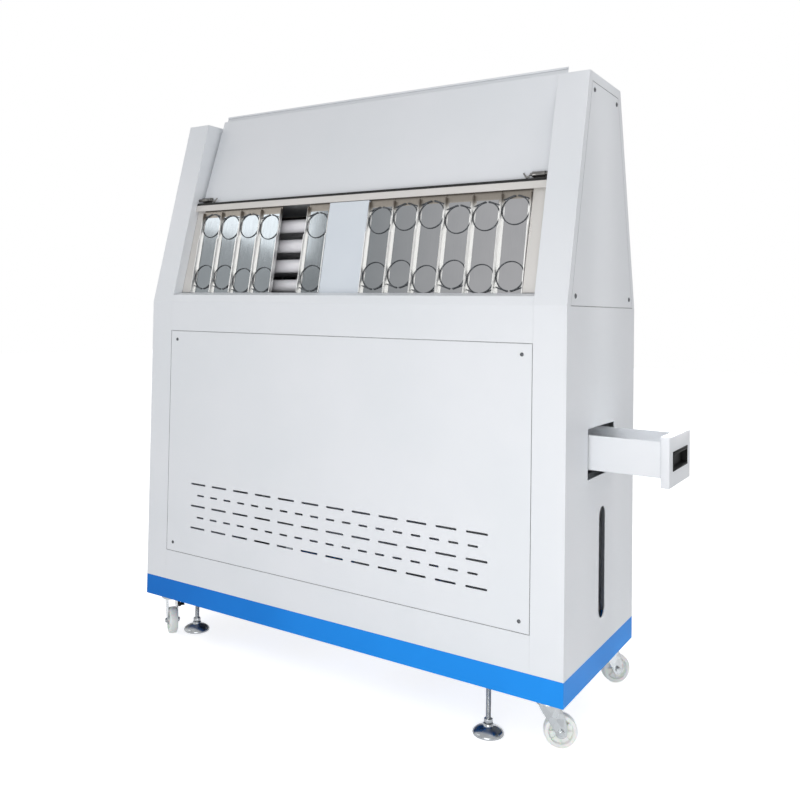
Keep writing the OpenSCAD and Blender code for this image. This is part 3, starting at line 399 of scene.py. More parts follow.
def spin(shape, verts, edges, angle, steps, rise=0.0, merge=False):
    """Spins a line of edges about the Z axis, and gives back its vertices with the new ones."""
    before = set(shape.verts)
    bmesh.ops.spin(shape, geom=verts + edges, cent=(0, 0, 0), axis=(0, 0, 1), dvec=(0, 0, rise), angle=angle,
                   steps=steps, use_merge=merge, use_normal_flip=False, use_duplicate=False)
    return verts + [v for v in shape.verts if v not in before]


def weld(shape, verts, reach):
    """Merges vertices that lie together, and gives back those that are left."""
    bmesh.ops.remove_doubles(shape, verts=verts, dist=reach)
    return [v for v in verts if v.is_valid]


def close_ends(shape, verts):
    rims = [e for e in edges_of(verts) if e.is_boundary]
    bmesh.ops.holes_fill(shape, edges=rims, sides=0)


def lathe(shape, profile, place, steps):
    """Spins a closed or axis-to-axis outline of (radius, height) about the local Z axis."""
    verts = [shape.verts.new((r, 0, h)) for r, h in profile]
    edges = [shape.edges.new((a, b)) for a, b in zip(verts, verts[1:])]
    if profile[0][0] > 1e-7 or profile[-1][0] > 1e-7:
        edges.append(shape.edges.new((verts[-1], verts[0])))
    made = weld(shape, spin(shape, verts, edges, 2 * pi, steps, merge=True), 1e-7)
    bmesh.ops.transform(shape, matrix=place, verts=made)
    return made


def block(shape, low, high, bevel=0.0, place=HERE, segments=2):
    """A box between two corners with rounded edges."""
    low, high = Vector(low), Vector(high)
    made = bmesh.ops.create_cube(shape, size=1.0)["verts"]
    size = high - low
    bmesh.ops.transform(shape, matrix=move((low + high) / 2) @ Matrix.Diagonal((*size, 1)), verts=made)
    if bevel:
        made = round_off(shape, made, edges_of(made), bevel, segments)
    bmesh.ops.transform(shape, matrix=place, verts=made)
    return made


def bar(shape, start, end, radius, steps):
    """A round bar between two points."""
    start, end = Vector(start), Vector(end)
    along = end - start
    lean = along.to_track_quat("Z", "Y").to_matrix().to_4x4()
    made = bmesh.ops.create_cone(shape, cap_ends=True, segments=steps, radius1=radius, radius2=radius,
                                 depth=along.length)["verts"]
    bmesh.ops.transform(shape, matrix=move((start + end) / 2) @ lean, verts=made)
    return made


def wire(shape, points, radius, steps):
    """A round wire that bends smoothly through the given points."""
    curve = bpy.data.curves.new("wire", "CURVE")
    curve.dimensions = "3D"
    curve.bevel_depth = radius
    curve.bevel_resolution = 3
    curve.use_fill_caps = True
    spline = curve.splines.new("NURBS")
    spline.points.add(len(points) - 1)
    for point, co in zip(spline.points, points):
        point.co = (*co, 1)
    spline.use_endpoint_u = True
    spline.order_u = 3
    spline.resolution_u = steps
    holder = bpy.data.objects.new("wire", curve)
    mesh = holder.to_mesh()
    before = set(shape.verts)
    shape.from_mesh(mesh)
    made = [v for v in shape.verts if v not in before]
    holder.to_mesh_clear()
    bpy.data.objects.remove(holder)
    bpy.data.curves.remove(curve)
    return weld(shape, made, 1e-6)


def plate(shape, outline, low, high, bevel, place):
    """A flat plate of the given (x, y) outline between two heights, with rounded rims."""
    verts = [shape.verts.new((x, y, low)) for x, y in outline]
    face = shape.faces.new(verts)
    before = set(shape.verts) - set(verts)
    grown = bmesh.ops.extrude_face_region(shape, geom=[face])["geom"]
    top = [g for g in grown if isinstance(g, bmesh.types.BMVert)]
    bmesh.ops.translate(shape, vec=(0, 0, high - low), verts=top)
    made = [v for v in shape.verts if v not in before]
    rims = [e for e in edges_of(made) if abs(e.verts[0].co.z - e.verts[1].co.z) < 1e-9]
    bmesh.ops.transform(shape, matrix=place, verts=round_off(shape, made, rims, bevel))


def hex_nut(shape, radius, height, place):
    """A six-sided nut or bolt head with rounded corners, standing on the local XY plane."""
    nut = bmesh.ops.create_cone(shape, cap_ends=True, segments=6, radius1=radius, radius2=radius,
                                depth=height)["verts"]
    nut = round_off(shape, nut, edges_of(nut), 0.0007)
    bmesh.ops.transform(shape, matrix=place @ move((0, 0, height / 2)), verts=nut)


def folded_pan(shape, low, high, mouth, bend, wall):
    """An open box folded from sheet, with rounded bends and its mouth towards one side."""
    made = block(shape, low, high)
    lid = [f for f in {f for v in made for f in v.link_faces} if f.normal.dot(Vector(mouth)) > 0.9]
    bmesh.ops.delete(shape, geom=lid, context="FACES_ONLY")
    faces = {f for v in made for f in v.link_faces}
    folds = [e for e in {e for f in faces for e in f.edges} if not e.is_boundary]
    made = round_off(shape, made, folds, bend, 3)
    faces = list({f for v in made for f in v.link_faces})
    bmesh.ops.recalc_face_normals(shape, faces=faces)
    result = bmesh.ops.solidify(shape, geom=faces, thickness=wall)
    return list(set(made) | {v for v in result["geom"] if isinstance(v, bmesh.types.BMVert)})


def caster(key):
    """Where a caster swivels, turned as it stands."""
    x, y, angle = CASTERS[key]
    return move((x, y, 0)) @ turn(angle, "Z")


# What a user can change

class ChamberColours(bpy.types.PropertyGroup):
    cabinet_hex: bpy.props.StringProperty(
        name="Cabinet", description="Colour of the white powder coat, as hex", default="#E6E8EB")
    base_hex: bpy.props.StringProperty(
        name="Base", description="Colour of the blue base frame, as hex", default="#2296F4")
    rail_hex: bpy.props.StringProperty(
        name="Rail", description="Colour of the rail and stiles, as hex", default="#DDDAD6")


def length(name, description, default):
    return bpy.props.FloatProperty(name=name, description=description, default=default, unit="LENGTH",
                                   subtype="DISTANCE")


class ChamberSizes(bpy.types.PropertyGroup):
    wheel_radius: length("Wheel radius", "Radius of a caster wheel", 0.0375)
    wheel_width: length("Wheel width", "Width of a caster wheel", 0.024)
    ring_radius: length("Ring radius", "Outer radius of a retaining ring", 0.037)
    wire_radius: length("Wire radius", "Radius of a retaining ring's wire", 0.0013)


class CHAMBER_OT_stage(bpy.types.Operator):
    """Camera at the photograph's view, soft studio lights, pale floor and backdrop"""
    bl_idname = "chamber.stage"
    bl_label = "Stage"

    def execute(self, context):
        scene = context.scene
        scene.view_settings.view_transform = "Standard"
        data = bpy.data.cameras.new("camera")
        data.sensor_width = 36
        data.lens = CAMERA_LENS
        data.shift_x, data.shift_y = CAMERA_SHIFT
        data.clip_end = 50
        yaw, tip, roll = (radians(angle) for angle in CAMERA_ANGLES)
        forward = Vector((sin(yaw) * cos(tip), cos(yaw) * cos(tip), sin(tip)))
        right = Vector((cos(yaw), -sin(yaw), 0))
        up = right.cross(forward)
        side = cos(roll) * right + sin(roll) * up
        top = -sin(roll) * right + cos(roll) * up
        camera = bpy.data.objects.new("camera", data)
        place = Matrix((side, top, -forward)).transposed().to_4x4()
        place.translation = CAMERA_AT
        camera.matrix_world = place
        scene.collection.objects.link(camera)
        scene.camera = camera

        for light in LIGHTS:
            self.light(scene, *light)
        self.world(scene)
        self.floor(scene)
        return {"FINISHED"}

    def light(self, scene, name, place, target, width, height, power, beam):
        data = bpy.data.lights.new(name, "AREA")
        data.shape = "RECTANGLE"
        data.size = width
        data.size_y = height
        data.energy = power
        data.spread = beam
        lamp = bpy.data.objects.new(name, data)
        lamp.location = place
        lamp.rotation_euler = (Vector(target) - Vector(place)).to_track_quat("-Z", "Y").to_euler()
        scene.collection.objects.link(lamp)

    def world(self, scene):
        world = bpy.data.worlds.new("soft_room")
        scene.world = world
        tree = empty_tree(world)
        seen = seen_directly(tree)
        room = add(tree, "ShaderNodeBackground", {"Color": linear("#F6F7FA"), "Strength": 0.60})
        white = add(tree, "ShaderNodeBackground", {"Color": (1, 1, 1, 1), "Strength": 1.0})
        mix = add(tree, "ShaderNodeMixShader", {0: seen, 1: room.outputs[0], 2: white.outputs[0]})
        add(tree, "ShaderNodeOutputWorld", {"Surface": mix.outputs[0]})

    def floor(self, scene):
        shape = bmesh.new()
        bmesh.ops.create_grid(shape, x_segments=1, y_segments=1, size=14)
        mesh = bpy.data.meshes.new("floor")
        shape.to_mesh(mesh)
        shape.free()
        floor = bpy.data.objects.new("floor", mesh)
        scene.collection.objects.link(floor)
        # Pale sealed floor: white where it is seen directly, and still shadowed by the chamber
        material = bpy.data.materials.new("pale_floor")
        tree = empty_tree(material)
        seen = seen_directly(tree)
        plain = add(tree, "ShaderNodeBsdfDiffuse", {"Color": linear("#E8E8E8")})
        glow = add(tree, "ShaderNodeEmission", {"Color": (1, 1, 1, 1), "Strength": 0.75})
        both = add(tree, "ShaderNodeAddShader", {0: plain.outputs[0], 1: glow.outputs[0]})
        mix = add(tree, "ShaderNodeMixShader", {0: seen, 1: plain.outputs[0], 2: both.outputs[0]})
        add(tree, "ShaderNodeOutputMaterial", {"Surface": mix.outputs[0]})
        mesh.materials.append(material)


class CHAMBER_OT_finishes(bpy.types.Operator):
    """Gives every CAD node the finish of its material slot"""
    bl_idname = "chamber.finishes"
    bl_label = "Finishes"

    def execute(self, context):
        make_finishes(context.scene.chamber_colours)
        for part in frame["record"]["subparts"]:
            mesh = frame["nodes"][part["node"]].data
            mesh.materials.clear()
            mesh.materials.append(FINISHES[part["material_slot"]])
        return {"FINISHED"}


class CHAMBER_OT_wheels(bpy.types.Operator):
    """Four nylon caster wheels with a rounded tread, ribbed web and hub"""
    bl_idname = "chamber.wheels"
    bl_label = "Caster wheels"

    def execute(self, context):
        sizes = context.scene.chamber_sizes
        r, w, ribs = sizes.wheel_radius, sizes.wheel_width / 2, 8
        # One side of a wheel, from the hub's bore out to the tread
        half = [(0.00405, 0.0127), (0.0105, 0.0127), (0.0115, 0.0117), (0.0125, 0.0035), (0.0265, 0.0035),
                (0.0275, w - 0.001), (0.0285, w), (r - 0.004, w), (r - 0.0016, w - 0.0012),
                (r - 0.0004, w - 0.004)]
        for key in CASTERS:
            place = caster(key) @ move((CASTER_TRAIL, 0, r)) @ turn(pi / 2, "X")
            shape = bmesh.new()
            lathe(shape, [(out, -x) for out, x in half] + [(r, 0)] + half[::-1], place, 64)
            for i in range(ribs):
                block(shape, (0.0105, -0.0011, -0.0088), (0.0282, 0.0011, 0.0088), 0.0006,
                      place @ turn(i * 2 * pi / ribs, "Z"))
            new_piece("wheel_%s_moulded" % key, shape, "wheel_" + key, "wheel_nylon", ["wheel_" + key])
        return {"FINISHED"}


class CHAMBER_OT_feet(bpy.types.Operator):
    """Four levelling feet: a domed pad with a rounded rim, a lock nut and a threaded rod"""
    bl_idname = "chamber.feet"
    bl_label = "Levelling feet"

    def execute(self, context):
        for key, (x, y, z) in FEET.items():
            place = move((x, y, z))
            shape = bmesh.new()
            lathe(shape, [
                (0, 0), (0.0350, 0), (0.0361, 0.0006), (0.0365, 0.0018), (0.0365, 0.0036), (0.0359, 0.0052),
                (0.0343, 0.0078), (0.0310, 0.0108), (0.0265, 0.0136), (0.0215, 0.0159), (0.0165, 0.0178),
                (0.0132, 0.0192), (0.0120, 0.0206), (0.0118, 0.0236), (0.0108, 0.0248), (0, 0.0248)],
                  place, 64)
            hex_nut(shape, 0.0105, 0.009, place @ move((0, 0, 0.026)))
            self.rod(shape, place)
            new_piece("foot_%s_turned" % key, shape, "foot_" + key, "foot_chrome", ["foot_" + key], 40)
        return {"FINISHED"}

    def rod(self, shape, place):
        """A rod with a coarse thread, 1.75 mm from crest to crest, made by a spin that climbs."""
        pitch, low, high, around = 0.00175, 0.0245, 0.1497, 16
        turns = int((high - low) / pitch) - 1
        first = [shape.verts.new(p) for p in (
            (0.0049, 0, low), (0.0060, 0, low + pitch * 0.5), (0.0049, 0, low + pitch))]
        edges = [shape.edges.new((a, b)) for a, b in zip(first, first[1:])]
        made = weld(shape, spin(shape, first, edges, 2 * pi * turns, turns * around, pitch / around), 1e-6)
        close_ends(shape, made)
        made += lathe(shape, [(0, low), (0.0050, low), (0.0050, high - 0.001), (0.0040, high), (0, high)],
                      HERE, around)
        bmesh.ops.transform(shape, matrix=place, verts=made)


class CHAMBER_OT_forks(bpy.types.Operator):
    """Four pressed steel caster forks with a domed race, shaped legs, and an axle bolt with washers and nuts
    """
    bl_idname = "chamber.forks"
    bl_label = "Caster forks"

    def execute(self, context):
        leg, thick, eye = FORK_LEG, 0.0025, 0.0135
        for key in CASTERS:
            swivel = caster(key)
            shape = bmesh.new()
            lathe(shape, [
                (0.00605, 0.1007), (0.0100, 0.1007), (0.0110, 0.1012), (0.0150, 0.1035), (0.0275, 0.1035),
                (0.0285, 0.1028), (0.0290, 0.1010), (0.0290, 0.0985), (0.0283, 0.0975), (0.0272, 0.0973),
                (0.0150, 0.0973), (0.0125, 0.0962), (0.0112, 0.0947), (0.0100, 0.0942), (0.00605, 0.0942)],
                  swivel, 48)
            axle = swivel @ move((CASTER_TRAIL, 0, AXLE_Z))
            for side in (-1, 1):
                stand = swivel @ move((0, side * leg, 0)) @ turn(pi / 2, "X")
                low, high = (-thick, 0.0) if side > 0 else (0.0, thick)
                outline = [(-0.024, 0.1005), (-0.0225, 0.0930), (-0.0150, 0.0800), (0.0020, 0.0560),
                           (0.0120, 0.0400)]
                outline += [(CASTER_TRAIL + eye * cos(radians(v)), AXLE_Z + eye * sin(radians(v)))
                            for v in range(190, 400, 15)]
                outline += [(0.0385, 0.0560), (0.0330, 0.0780), (0.0262, 0.0930), (0.0245, 0.1005)]
                plate(shape, outline, low, high, 0.0005, stand)
                out = turn(-side * pi / 2, "X")
                lathe(shape, [(0.0041, 0), (0.0085, 0), (0.0085, 0.0010), (0.0041, 0.0010)],
                      axle @ move((0, side * (leg + thick), 0)) @ out, 32)
                hex_nut(shape, 0.0072, 0.0045, axle @ move((0, side * (leg + 0.0035), 0)) @ out)
            bar(shape, axle @ Vector((0, -leg - 0.009, 0)), axle @ Vector((0, leg + 0.009, 0)), 0.004, 24)
            if key in BRAKED:
                pivot = swivel @ move((BRAKE_AT[0], 0, BRAKE_AT[1]))
                bar(shape, pivot @ Vector((0, leg, 0)), pivot @ Vector((0, leg + 0.0085, 0)), 0.003, 24)
            new_piece("fork_%s_pressed" % key, shape, "caster_" + key, "zinc", ["fork_" + key])
        return {"FINISHED"}


class CHAMBER_OT_brakes(bpy.types.Operator):
    """Two moulded brake levers with a ribbed foot pad"""
    bl_idname = "chamber.brakes"
    bl_label = "Brake levers"

    def execute(self, context):
        for key in BRAKED:
            place = caster(key) @ move((BRAKE_AT[0], 0.0158, BRAKE_AT[1]))
            stand = place @ turn(pi / 2, "X")
            shape = bmesh.new()
            outline = [(0.009 * cos(radians(v)), 0.009 * sin(radians(v))) for v in range(80, 300, 20)]
            outline += [(0.020, -0.0045), (0.046, 0.003), (0.051, 0.0065), (0.0515, 0.0105), (0.048, 0.0135),
                        (0.040, 0.0135), (0.022, 0.0105)]
            plate(shape, outline, -0.004, 0.0, 0.0006, stand)
            block(shape, (0.034, 0.0, 0.0075), (0.0525, 0.0145, 0.0118), 0.0015, place)
            for i in range(4):
                rib = i * 0.0042
                block(shape, (0.0362 + rib, 0.0015, 0.0110), (0.0378 + rib, 0.013, 0.0126), 0.0005, place)
            new_piece("brake_%s_moulded" % key, shape, "brake_" + key, "black_plastic", ["brake_" + key])
        return {"FINISHED"}


class CHAMBER_OT_rings(bpy.types.Operator):
    """Sprung wire rings that hold the test panels in their holders, with tails bent out to the lips"""
    bl_idname = "chamber.rings"
    bl_label = "Retaining rings"

    def execute(self, context):
        sizes = context.scene.chamber_sizes
        r, thick = sizes.ring_radius - sizes.wire_radius, sizes.wire_radius
        shape = bmesh.new()
        for rows, side in ((FRONT_HOLDERS, HERE), (REAR_HOLDERS, REAR)):
            for x, high, low in rows:
                for s, angle in ((high, 0), (low, pi)):
                    place = side @ ON_RACK @ move((x * MM + HOLDER_W / 2, s * MM - RACK_S, 0.0025 + thick))
                    self.ring(shape, r, thick, place @ turn(angle, "Z"))
        new_piece("retaining_rings_sprung", shape, "cabinet", "spring_wire", ["retaining_rings"], 60)
        return {"FINISHED"}

    def ring(self, shape, r, thick, place):
        first = list(bmesh.ops.create_circle(shape, segments=8, radius=thick, cap_ends=False)["verts"])
        gap = radians(5)
        start = turn(pi / 2 + gap, "Z") @ move((r, 0, 0)) @ turn(pi / 2, "X")
        bmesh.ops.transform(shape, matrix=start, verts=first)
        made = spin(shape, first, edges_of(first), 2 * pi - 2 * gap, 44)
        close_ends(shape, made)
        for end in (-1, 1):
            top = Vector((end * r * sin(gap), r * cos(gap), 0))
            bend = Vector((end * 0.0055, r + thick * 1.2, 0))
            made += bar(shape, top, bend, thick, 8)
            made += bar(shape, bend, Vector((end * 0.0345, r * 0.75, 0)), thick, 8)
        bmesh.ops.transform(shape, matrix=place, verts=made)


class CHAMBER_OT_screws(bpy.types.Operator):
    """Blackened button-head screws of the service panels and the end covers"""
    bl_idname = "chamber.screws"
    bl_label = "Panel screws"

    def execute(self, context):
        shape = bmesh.new()
        for side in (HERE, REAR):
            for ex in (-1, 1):
                for z in PANEL_SCREW_Z:
                    self.screw(shape, 0.0045, side @ move((ex * SCREW_X, -HALF_D, z)) @ turn(pi / 2, "X"))
        for side in (HERE, LEFT):
            for y, z in COVER_SCREWS:
                for e in (-1, 1):
                    self.screw(shape, 0.006, side @ move((HALF_W, e * y, z)) @ turn(pi / 2, "Y"))
        new_piece("panel_screws_turned", shape, "cabinet", "black_steel", ["panel_screws"], 50)
        return {"FINISHED"}

    def screw(self, shape, r, place):
        lathe(shape, [(0, -0.001), (r * 0.98, -0.001), (r, 0.0003), (r * 0.96, 0.0011), (r * 0.8, 0.0019),
                      (r * 0.55, 0.0024), (r * 0.42, 0.0024), (r * 0.40, 0.0021), (r * 0.38, 0.0006),
                      (0, 0.0004)], place, 24)


class CHAMBER_OT_doors(bpy.types.Operator):
    """Front and rear doors: a folded pan, a skin, and a hemmed grip lip along the free edge"""
    bl_idname = "chamber.doors"
    bl_label = "Doors"

    def execute(self, context):
        # Half widths of skin and pan, and from the axis to the hinged edge, the free edge and the pan's end
        half, pan_half = 0.566, 0.560
        hinged, free, pan_end = 0.012, -0.305, -0.278
        for name, place in DOORS:
            shape = bmesh.new()
            pan = folded_pan(shape, (-pan_half, pan_end, 0.007), (pan_half, hinged, 0.0268), (0, 1, 0),
                             0.0022, 0.0015)
            bmesh.ops.transform(shape, matrix=place, verts=pan)
            block(shape, (-half, free, 0.0255), (half, hinged, 0.027), 0.0004, place)
            block(shape, (-half, free, 0.0237), (half, free + 0.0058, 0.0258), 0.0008, place)
            door = name + "_door"
            new_piece(door + "_folded", shape, door, "cabinet_white", [door], 50)
        return {"FINISHED"}


class CHAMBER_OT_drawer(bpy.types.Operator):
    """Water drawer: a folded tray with rounded corners, its drain spout, and a boxed front round the pull"""
    bl_idname = "chamber.drawer"
    bl_label = "Water drawer"

    def execute(self, context):
        low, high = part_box("fill_drawer")
        pull_low, pull_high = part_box("drawer_pull")
        face, middle, bottom = high.x - 0.020, (low.y + high.y) / 2, high.z - 0.093
        shape = bmesh.new()
        folded_pan(shape, (low.x, middle - 0.091, bottom), (face + 0.0008, middle + 0.091, high.z - 0.012),
                   (0, 0, 1), 0.0025, 0.0016)
        lathe(shape, [(0.0070, bottom - 0.0160), (0.0085, bottom - 0.0160), (0.0090, bottom - 0.0150),
                      (0.0090, bottom + 0.0012), (0.0070, bottom + 0.0012)],
              move((low.x + 0.022, middle, 0)), 32)
        block(shape, (face, low.y, high.z - 0.114), high, 0.0018, segments=3)
        shape.faces.ensure_lookup_table()
        front = max((f for f in shape.faces if f.normal.x > 0.99), key=lambda f: f.calc_area())
        bmesh.ops.inset_individual(shape, faces=[front], thickness=0.001)
        centre = (pull_low + pull_high) / 2
        for v in front.verts:
            v.co.y = centre.y + (0.0652 if v.co.y > centre.y else -0.0652)
            v.co.z = centre.z + (0.0202 if v.co.z > centre.z else -0.0202)
        bmesh.ops.inset_individual(shape, faces=[front], thickness=0.0001, depth=-0.0155)
        new_piece("water_drawer_folded", shape, "water_drawer", "cabinet_white", ["fill_drawer"], 45)
        return {"FINISHED"}


class CHAMBER_OT_bolts(bpy.types.Operator):
    """Barrel bolts at the doors' lower corners: a barrel on a screwed base, a pin with a bent wire tail"""
    bl_idname = "chamber.bolts"
    bl_label = "Door bolts"

    def execute(self, context):
        for door, place in DOORS:
            shape = bmesh.new()
            for side in (HERE, LEFT):
                along = place @ side @ turn(pi / 2, "Y")
                lathe(shape, [(0.00405, 0.522), (0.0058, 0.522), (0.0065, 0.5227), (0.0065, 0.5250),
                              (0.0061, 0.5256), (0.0061, 0.5524), (0.0065, 0.5530), (0.0065, 0.5553),
                              (0.0058, 0.556), (0.00405, 0.556)], along, 32)
                block(shape, (0.522, -0.0095, 0.0055), (0.556, 0.0095, 0.0070), 0.0004, place @ side)
                block(shape, (0.5225, -0.0060, 0.0015), (0.5555, 0.0060, 0.0058), 0.0006, place @ side)
                for x in (0.5265, 0.5515):
                    for y in (-0.0078, 0.0078):
                        lathe(shape, [(0, 0), (0.0016, 0), (0.0015, 0.0005), (0, 0.0008)],
                              place @ side @ move((x, y, 0.0055)) @ turn(pi, "X"), 16)
            bolts = door + "_door_bolts"
            new_piece(bolts + "_turned", shape, door + "_door", "stainless", [bolts], 40)
            for name, side in (("right", HERE), ("left", LEFT)):
                shape = bmesh.new()
                lathe(shape, [(0, 0.517), (0.0036, 0.517), (0.0040, 0.5175), (0.0040, 0.5770),
                              (0.0034, 0.578), (0, 0.578)], place @ side @ turn(pi / 2, "Y"), 24)
                tail = [(0.5185, 0, 0), (0.5160, 0.0022, 0), (0.5125, 0.0056, 0), (0.5100, 0.0079, 0),
                        (0.5083, 0.0082, 0), (0.5062, 0.0058, 0), (0.5030, 0.0016, 0), (0.4990, -0.0045, 0)]
                made = wire(shape, tail, 0.0020, 5)
                bmesh.ops.transform(shape, matrix=place @ side, verts=made)
                pin = "%s_pin_%s" % (door, name)
                new_piece(pin + "_bent", shape, pin, "stainless", [pin], 40)
        return {"FINISHED"}


class CHAMBER_OT_gauge(bpy.types.Operator):
    """Sight gauge: a milky tube between dark fittings with gland nuts"""
    bl_idname = "chamber.gauge"
    bl_label = "Sight gauge"

    def execute(self, context):
        # The tube's middle, and its lower and upper end
        x, low, high = 0.628, 0.251, 0.494
        place = move((x, 0, 0))
        shape = bmesh.new()
        lathe(shape, [(0.0105, low + 0.008), (0.0124, low + 0.008), (0.0125, low + 0.009),
                      (0.0125, high - 0.009), (0.0124, high - 0.008), (0.0105, high - 0.008)], place, 48)
        new_piece("sight_tube_drawn", shape, "cabinet", "clear_acrylic", ["sight_tube"], 40)
        shape = bmesh.new()
        for z, out in ((low + 0.012, 1), (high - 0.012, -1)):
            up = place @ move((0, 0, z)) @ Matrix.Diagonal((1, 1, out, 1))
            lathe(shape, [(0, -0.012), (0.0150, -0.012), (0.0160, -0.011), (0.0160, 0.002), (0.0150, 0.003),
                          (0.0128, 0.003), (0, 0.0025)], up, 48)
            nut = bmesh.ops.create_cone(shape, cap_ends=True, segments=12, radius1=0.0158, radius2=0.0150,
                                        depth=0.008)["verts"]
            bmesh.ops.transform(shape, matrix=up @ move((0, 0, 0.007)), verts=nut)
            side = move((0, 0, z)) @ turn(pi / 2, "Y")
            lathe(shape, [(0, 0.600), (0.0160, 0.600), (0.0160, 0.604), (0.0090, 0.604), (0.0090, x), (0, x)],
                  side, 32)
        new_piece("sight_fittings_moulded", shape, "cabinet", "grey_plastic", ["sight_fittings"], 40)
        return {"FINISHED"}


class CHAMBER_OT_pull(bpy.types.Operator):
    """Flush finger pull of the water drawer: a rounded bezel round a deep recess with an overhanging lip"""
    bl_idname = "chamber.pull"
    bl_label = "Drawer pull"

    def execute(self, context):
        low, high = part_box("drawer_pull")
        x0, x1 = low.x, high.x
        # The body stands a little inside the bezel
        inset = Vector((0, 0.0023, 0.0023))
        shape = bmesh.new()
        body = block(shape, low + inset, high - inset)
        front = [f for f in shape.faces if f.normal.x > 0.9]
        bmesh.ops.inset_region(shape, faces=front, thickness=0.0032, use_even_offset=True)
        pit = bmesh.ops.extrude_face_region(shape, geom=front)["geom"]
        bmesh.ops.delete(shape, geom=front, context="FACES_ONLY")
        bmesh.ops.translate(shape, vec=(-(x1 - x0) + 0.002, 0, 0),
                            verts=[g for g in pit if isinstance(g, bmesh.types.BMVert)])
        round_off(shape, body, list(shape.edges), 0.0009)
        top = low.z + (high.z - low.z) * 0.80
        block(shape, (x1 - 0.0048, low.y + 0.004, top), (x1 - 0.0006, high.y - 0.004, high.z - 0.003), 0.0008)
        rim = 0.0055
        for y0, z0, y1, z1 in (
                (low.y, low.z, high.y, low.z + rim), (low.y, high.z - rim, high.y, high.z),
                (low.y, low.z, low.y + rim, high.z), (high.y - rim, low.z, high.y, high.z)):
            block(shape, (x1 - 0.0012, y0, z0), (x1, y1, z1), 0.0005)
        new_piece("drawer_pull_moulded", shape, "water_drawer", "black_plastic", ["drawer_pull"], 40)
        return {"FINISHED"}


class CHAMBER_OT_lamps(bpy.types.Operator):
    """Eight fluorescent tubes with aluminium end caps"""
    bl_idname = "chamber.lamps"
    bl_label = "Lamps"

    def execute(self, context):
        count, lowest, step, depth = LAMPS
        tubes, caps = bmesh.new(), bmesh.new()
        for side in (HERE, REAR):
            for i in range(count):
                at = side @ ON_RACK @ move((0, lowest + i * step, depth)) @ turn(pi / 2, "Y")
                rim = [(0.0190, 0.567), (0.0188, 0.572), (0.0176, 0.5755), (0.0150, 0.577), (0, 0.577)]
                lathe(tubes, [(r, -x) for r, x in reversed(rim)] + rim, at, 48)
                for end in (-1, 1):
                    lathe(caps, [(0.0172, 0.5745), (0.0186, 0.5745), (0.0189, 0.5755), (0.0189, 0.597),
                                 (0.0182, 0.600), (0, 0.600)], at @ Matrix.Diagonal((1, 1, end, 1)), 32)
        new_piece("lamp_tubes_glass", tubes, "cabinet", "lamp_glass", ["lamp_tubes"], 50)
        new_piece("lamp_caps", caps, "cabinet", "specimen_aluminium", (), 40)
        return {"FINISHED"}


class CHAMBER_OT_controls(bpy.types.Operator):
    """Emergency stop mushroom, and the touch screen's dark glass and lit fields, on the left end"""
    bl_idname = "chamber.controls"
    bl_label = "Controls"

    def execute(self, context):
        x, z = -HALF_W, KNEE_Z + 0.250
        out = move((x, -0.048, z - 0.090)) @ turn(-pi / 2, "Y")
        shape = bmesh.new()
        lathe(shape, [(0, 0.0053), (0.0058, 0.0053), (0.0060, 0.0058), (0.0060, 0.0133), (0.0150, 0.0133),
                      (0.0158, 0.0139), (0.0160, 0.0150), (0.0160, 0.0180), (0.0156, 0.0192),
                      (0.0140, 0.0200), (0.0120, 0.0205), (0.0100, 0.0209), (0.0050, 0.0210), (0, 0.0210)],
              out, 48)
        new_piece("emergency_stop_turned", shape, "emergency_stop", "red_plastic", ["emergency_stop"], 45)
        shape = bmesh.new()
        block(shape, (x - 0.0068, -0.072, z + 0.0185), (x - 0.0052, 0.072, z + 0.1015), 0.0004)
        new_piece("screen_glass", shape, "cabinet", "screen_glass", (), 40)
        shape = bmesh.new()
        for row in range(2):
            for column in range(4):
                y0 = -0.064 + column * 0.033
                z0 = z + 0.030 + row * 0.034
                block(shape, (x - 0.0072, y0, z0), (x - 0.0067, y0 + 0.028, z0 + 0.026), 0.0002)
        new_piece("screen_fields", shape, "cabinet", "screen_field", (), 40)
        return {"FINISHED"}


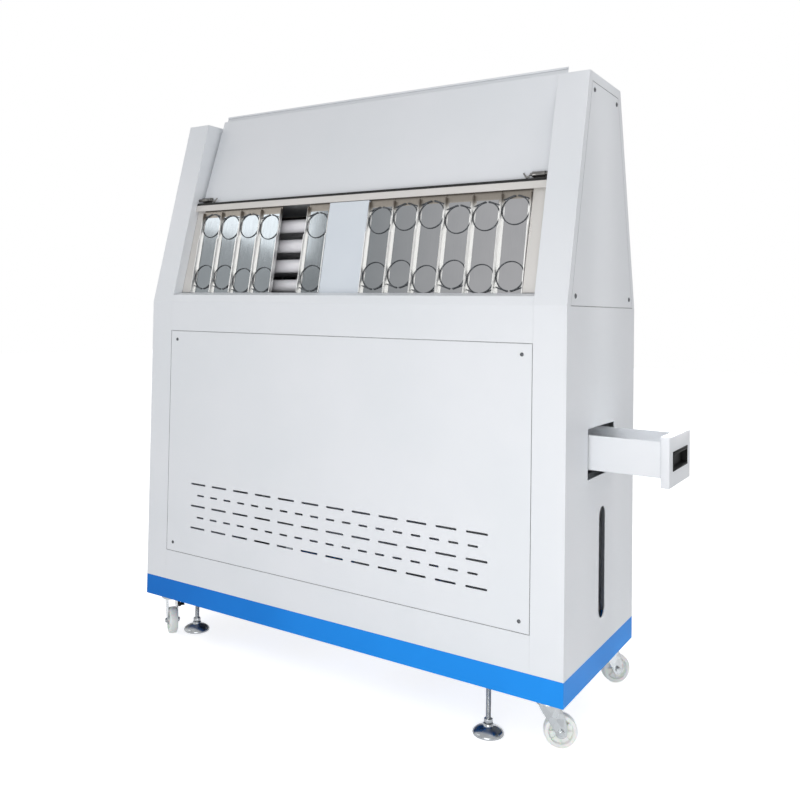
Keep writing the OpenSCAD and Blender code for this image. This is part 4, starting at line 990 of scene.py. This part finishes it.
class CHAMBER_OT_gland(bpy.types.Operator):
    """Cable gland: a ribbed dome nut, a hexagonal body and a lock nut inside"""
    bl_idname = "chamber.gland"
    bl_label = "Cable gland"

    def execute(self, context):
        at = move((-0.450, HALF_D, 0.212)) @ turn(-pi / 2, "X")
        shape = bmesh.new()
        lathe(shape, [(0.0050, -0.0159), (0.0099, -0.0159), (0.0099, 0.0060), (0.0128, 0.0068),
                      (0.0128, 0.0120), (0.0118, 0.0150), (0.0098, 0.0172), (0.0078, 0.0180),
                      (0.0050, 0.0180)], at, 48)
        for low, high in ((0, 0.0070), (-0.0080, -0.0020)):
            lathe(shape, [(0.0092, low), (0.0142, low), (0.0150, low + 0.0008), (0.0150, high - 0.0008),
                          (0.0142, high), (0.0092, high)], at, 6)
        for i in range(12):
            block(shape, (0.0120, -0.0009, 0.0068), (0.0134, 0.0009, 0.0118), 0.0004,
                  at @ turn(i * pi / 6, "Z"))
        new_piece("cable_gland_moulded", shape, "cabinet", "grey_plastic", ["cable_gland"], 40)
        return {"FINISHED"}


class CHAMBER_PT_panel(bpy.types.Panel):
    """Lists the chamber's operators, colours and sizes"""
    bl_idname = "CHAMBER_PT_panel"
    bl_label = "Environmental test chamber"
    bl_space_type = "VIEW_3D"
    bl_region_type = "UI"
    bl_category = "Chamber"

    def draw(self, context):
        layout = self.layout
        for name in OPERATORS:
            layout.operator(name)
        for group in (context.scene.chamber_colours, context.scene.chamber_sizes):
            for key in group.__annotations__:
                layout.prop(group, key)


CLASSES = [ChamberColours, ChamberSizes, CHAMBER_OT_stage, CHAMBER_OT_finishes, CHAMBER_OT_wheels,
           CHAMBER_OT_forks, CHAMBER_OT_brakes, CHAMBER_OT_feet, CHAMBER_OT_rings, CHAMBER_OT_screws,
           CHAMBER_OT_doors, CHAMBER_OT_bolts, CHAMBER_OT_drawer, CHAMBER_OT_gauge, CHAMBER_OT_pull,
           CHAMBER_OT_lamps, CHAMBER_OT_controls, CHAMBER_OT_gland, CHAMBER_PT_panel]
# The names that the operators are called by, in the order of the classes
OPERATORS = [each.bl_idname for each in CLASSES if issubclass(each, bpy.types.Operator)]


def register():
    for each in CLASSES:
        bpy.utils.register_class(each)
    bpy.types.Scene.chamber_colours = bpy.props.PointerProperty(type=ChamberColours)
    bpy.types.Scene.chamber_sizes = bpy.props.PointerProperty(type=ChamberSizes)


def unregister():
    del bpy.types.Scene.chamber_sizes
    del bpy.types.Scene.chamber_colours
    for each in reversed(CLASSES):
        bpy.utils.unregister_class(each)


def main():
    register()
    for name in OPERATORS:
        group, action = name.split(".")
        getattr(getattr(bpy.ops, group), action)()


if __name__ == "__main__":
    main()
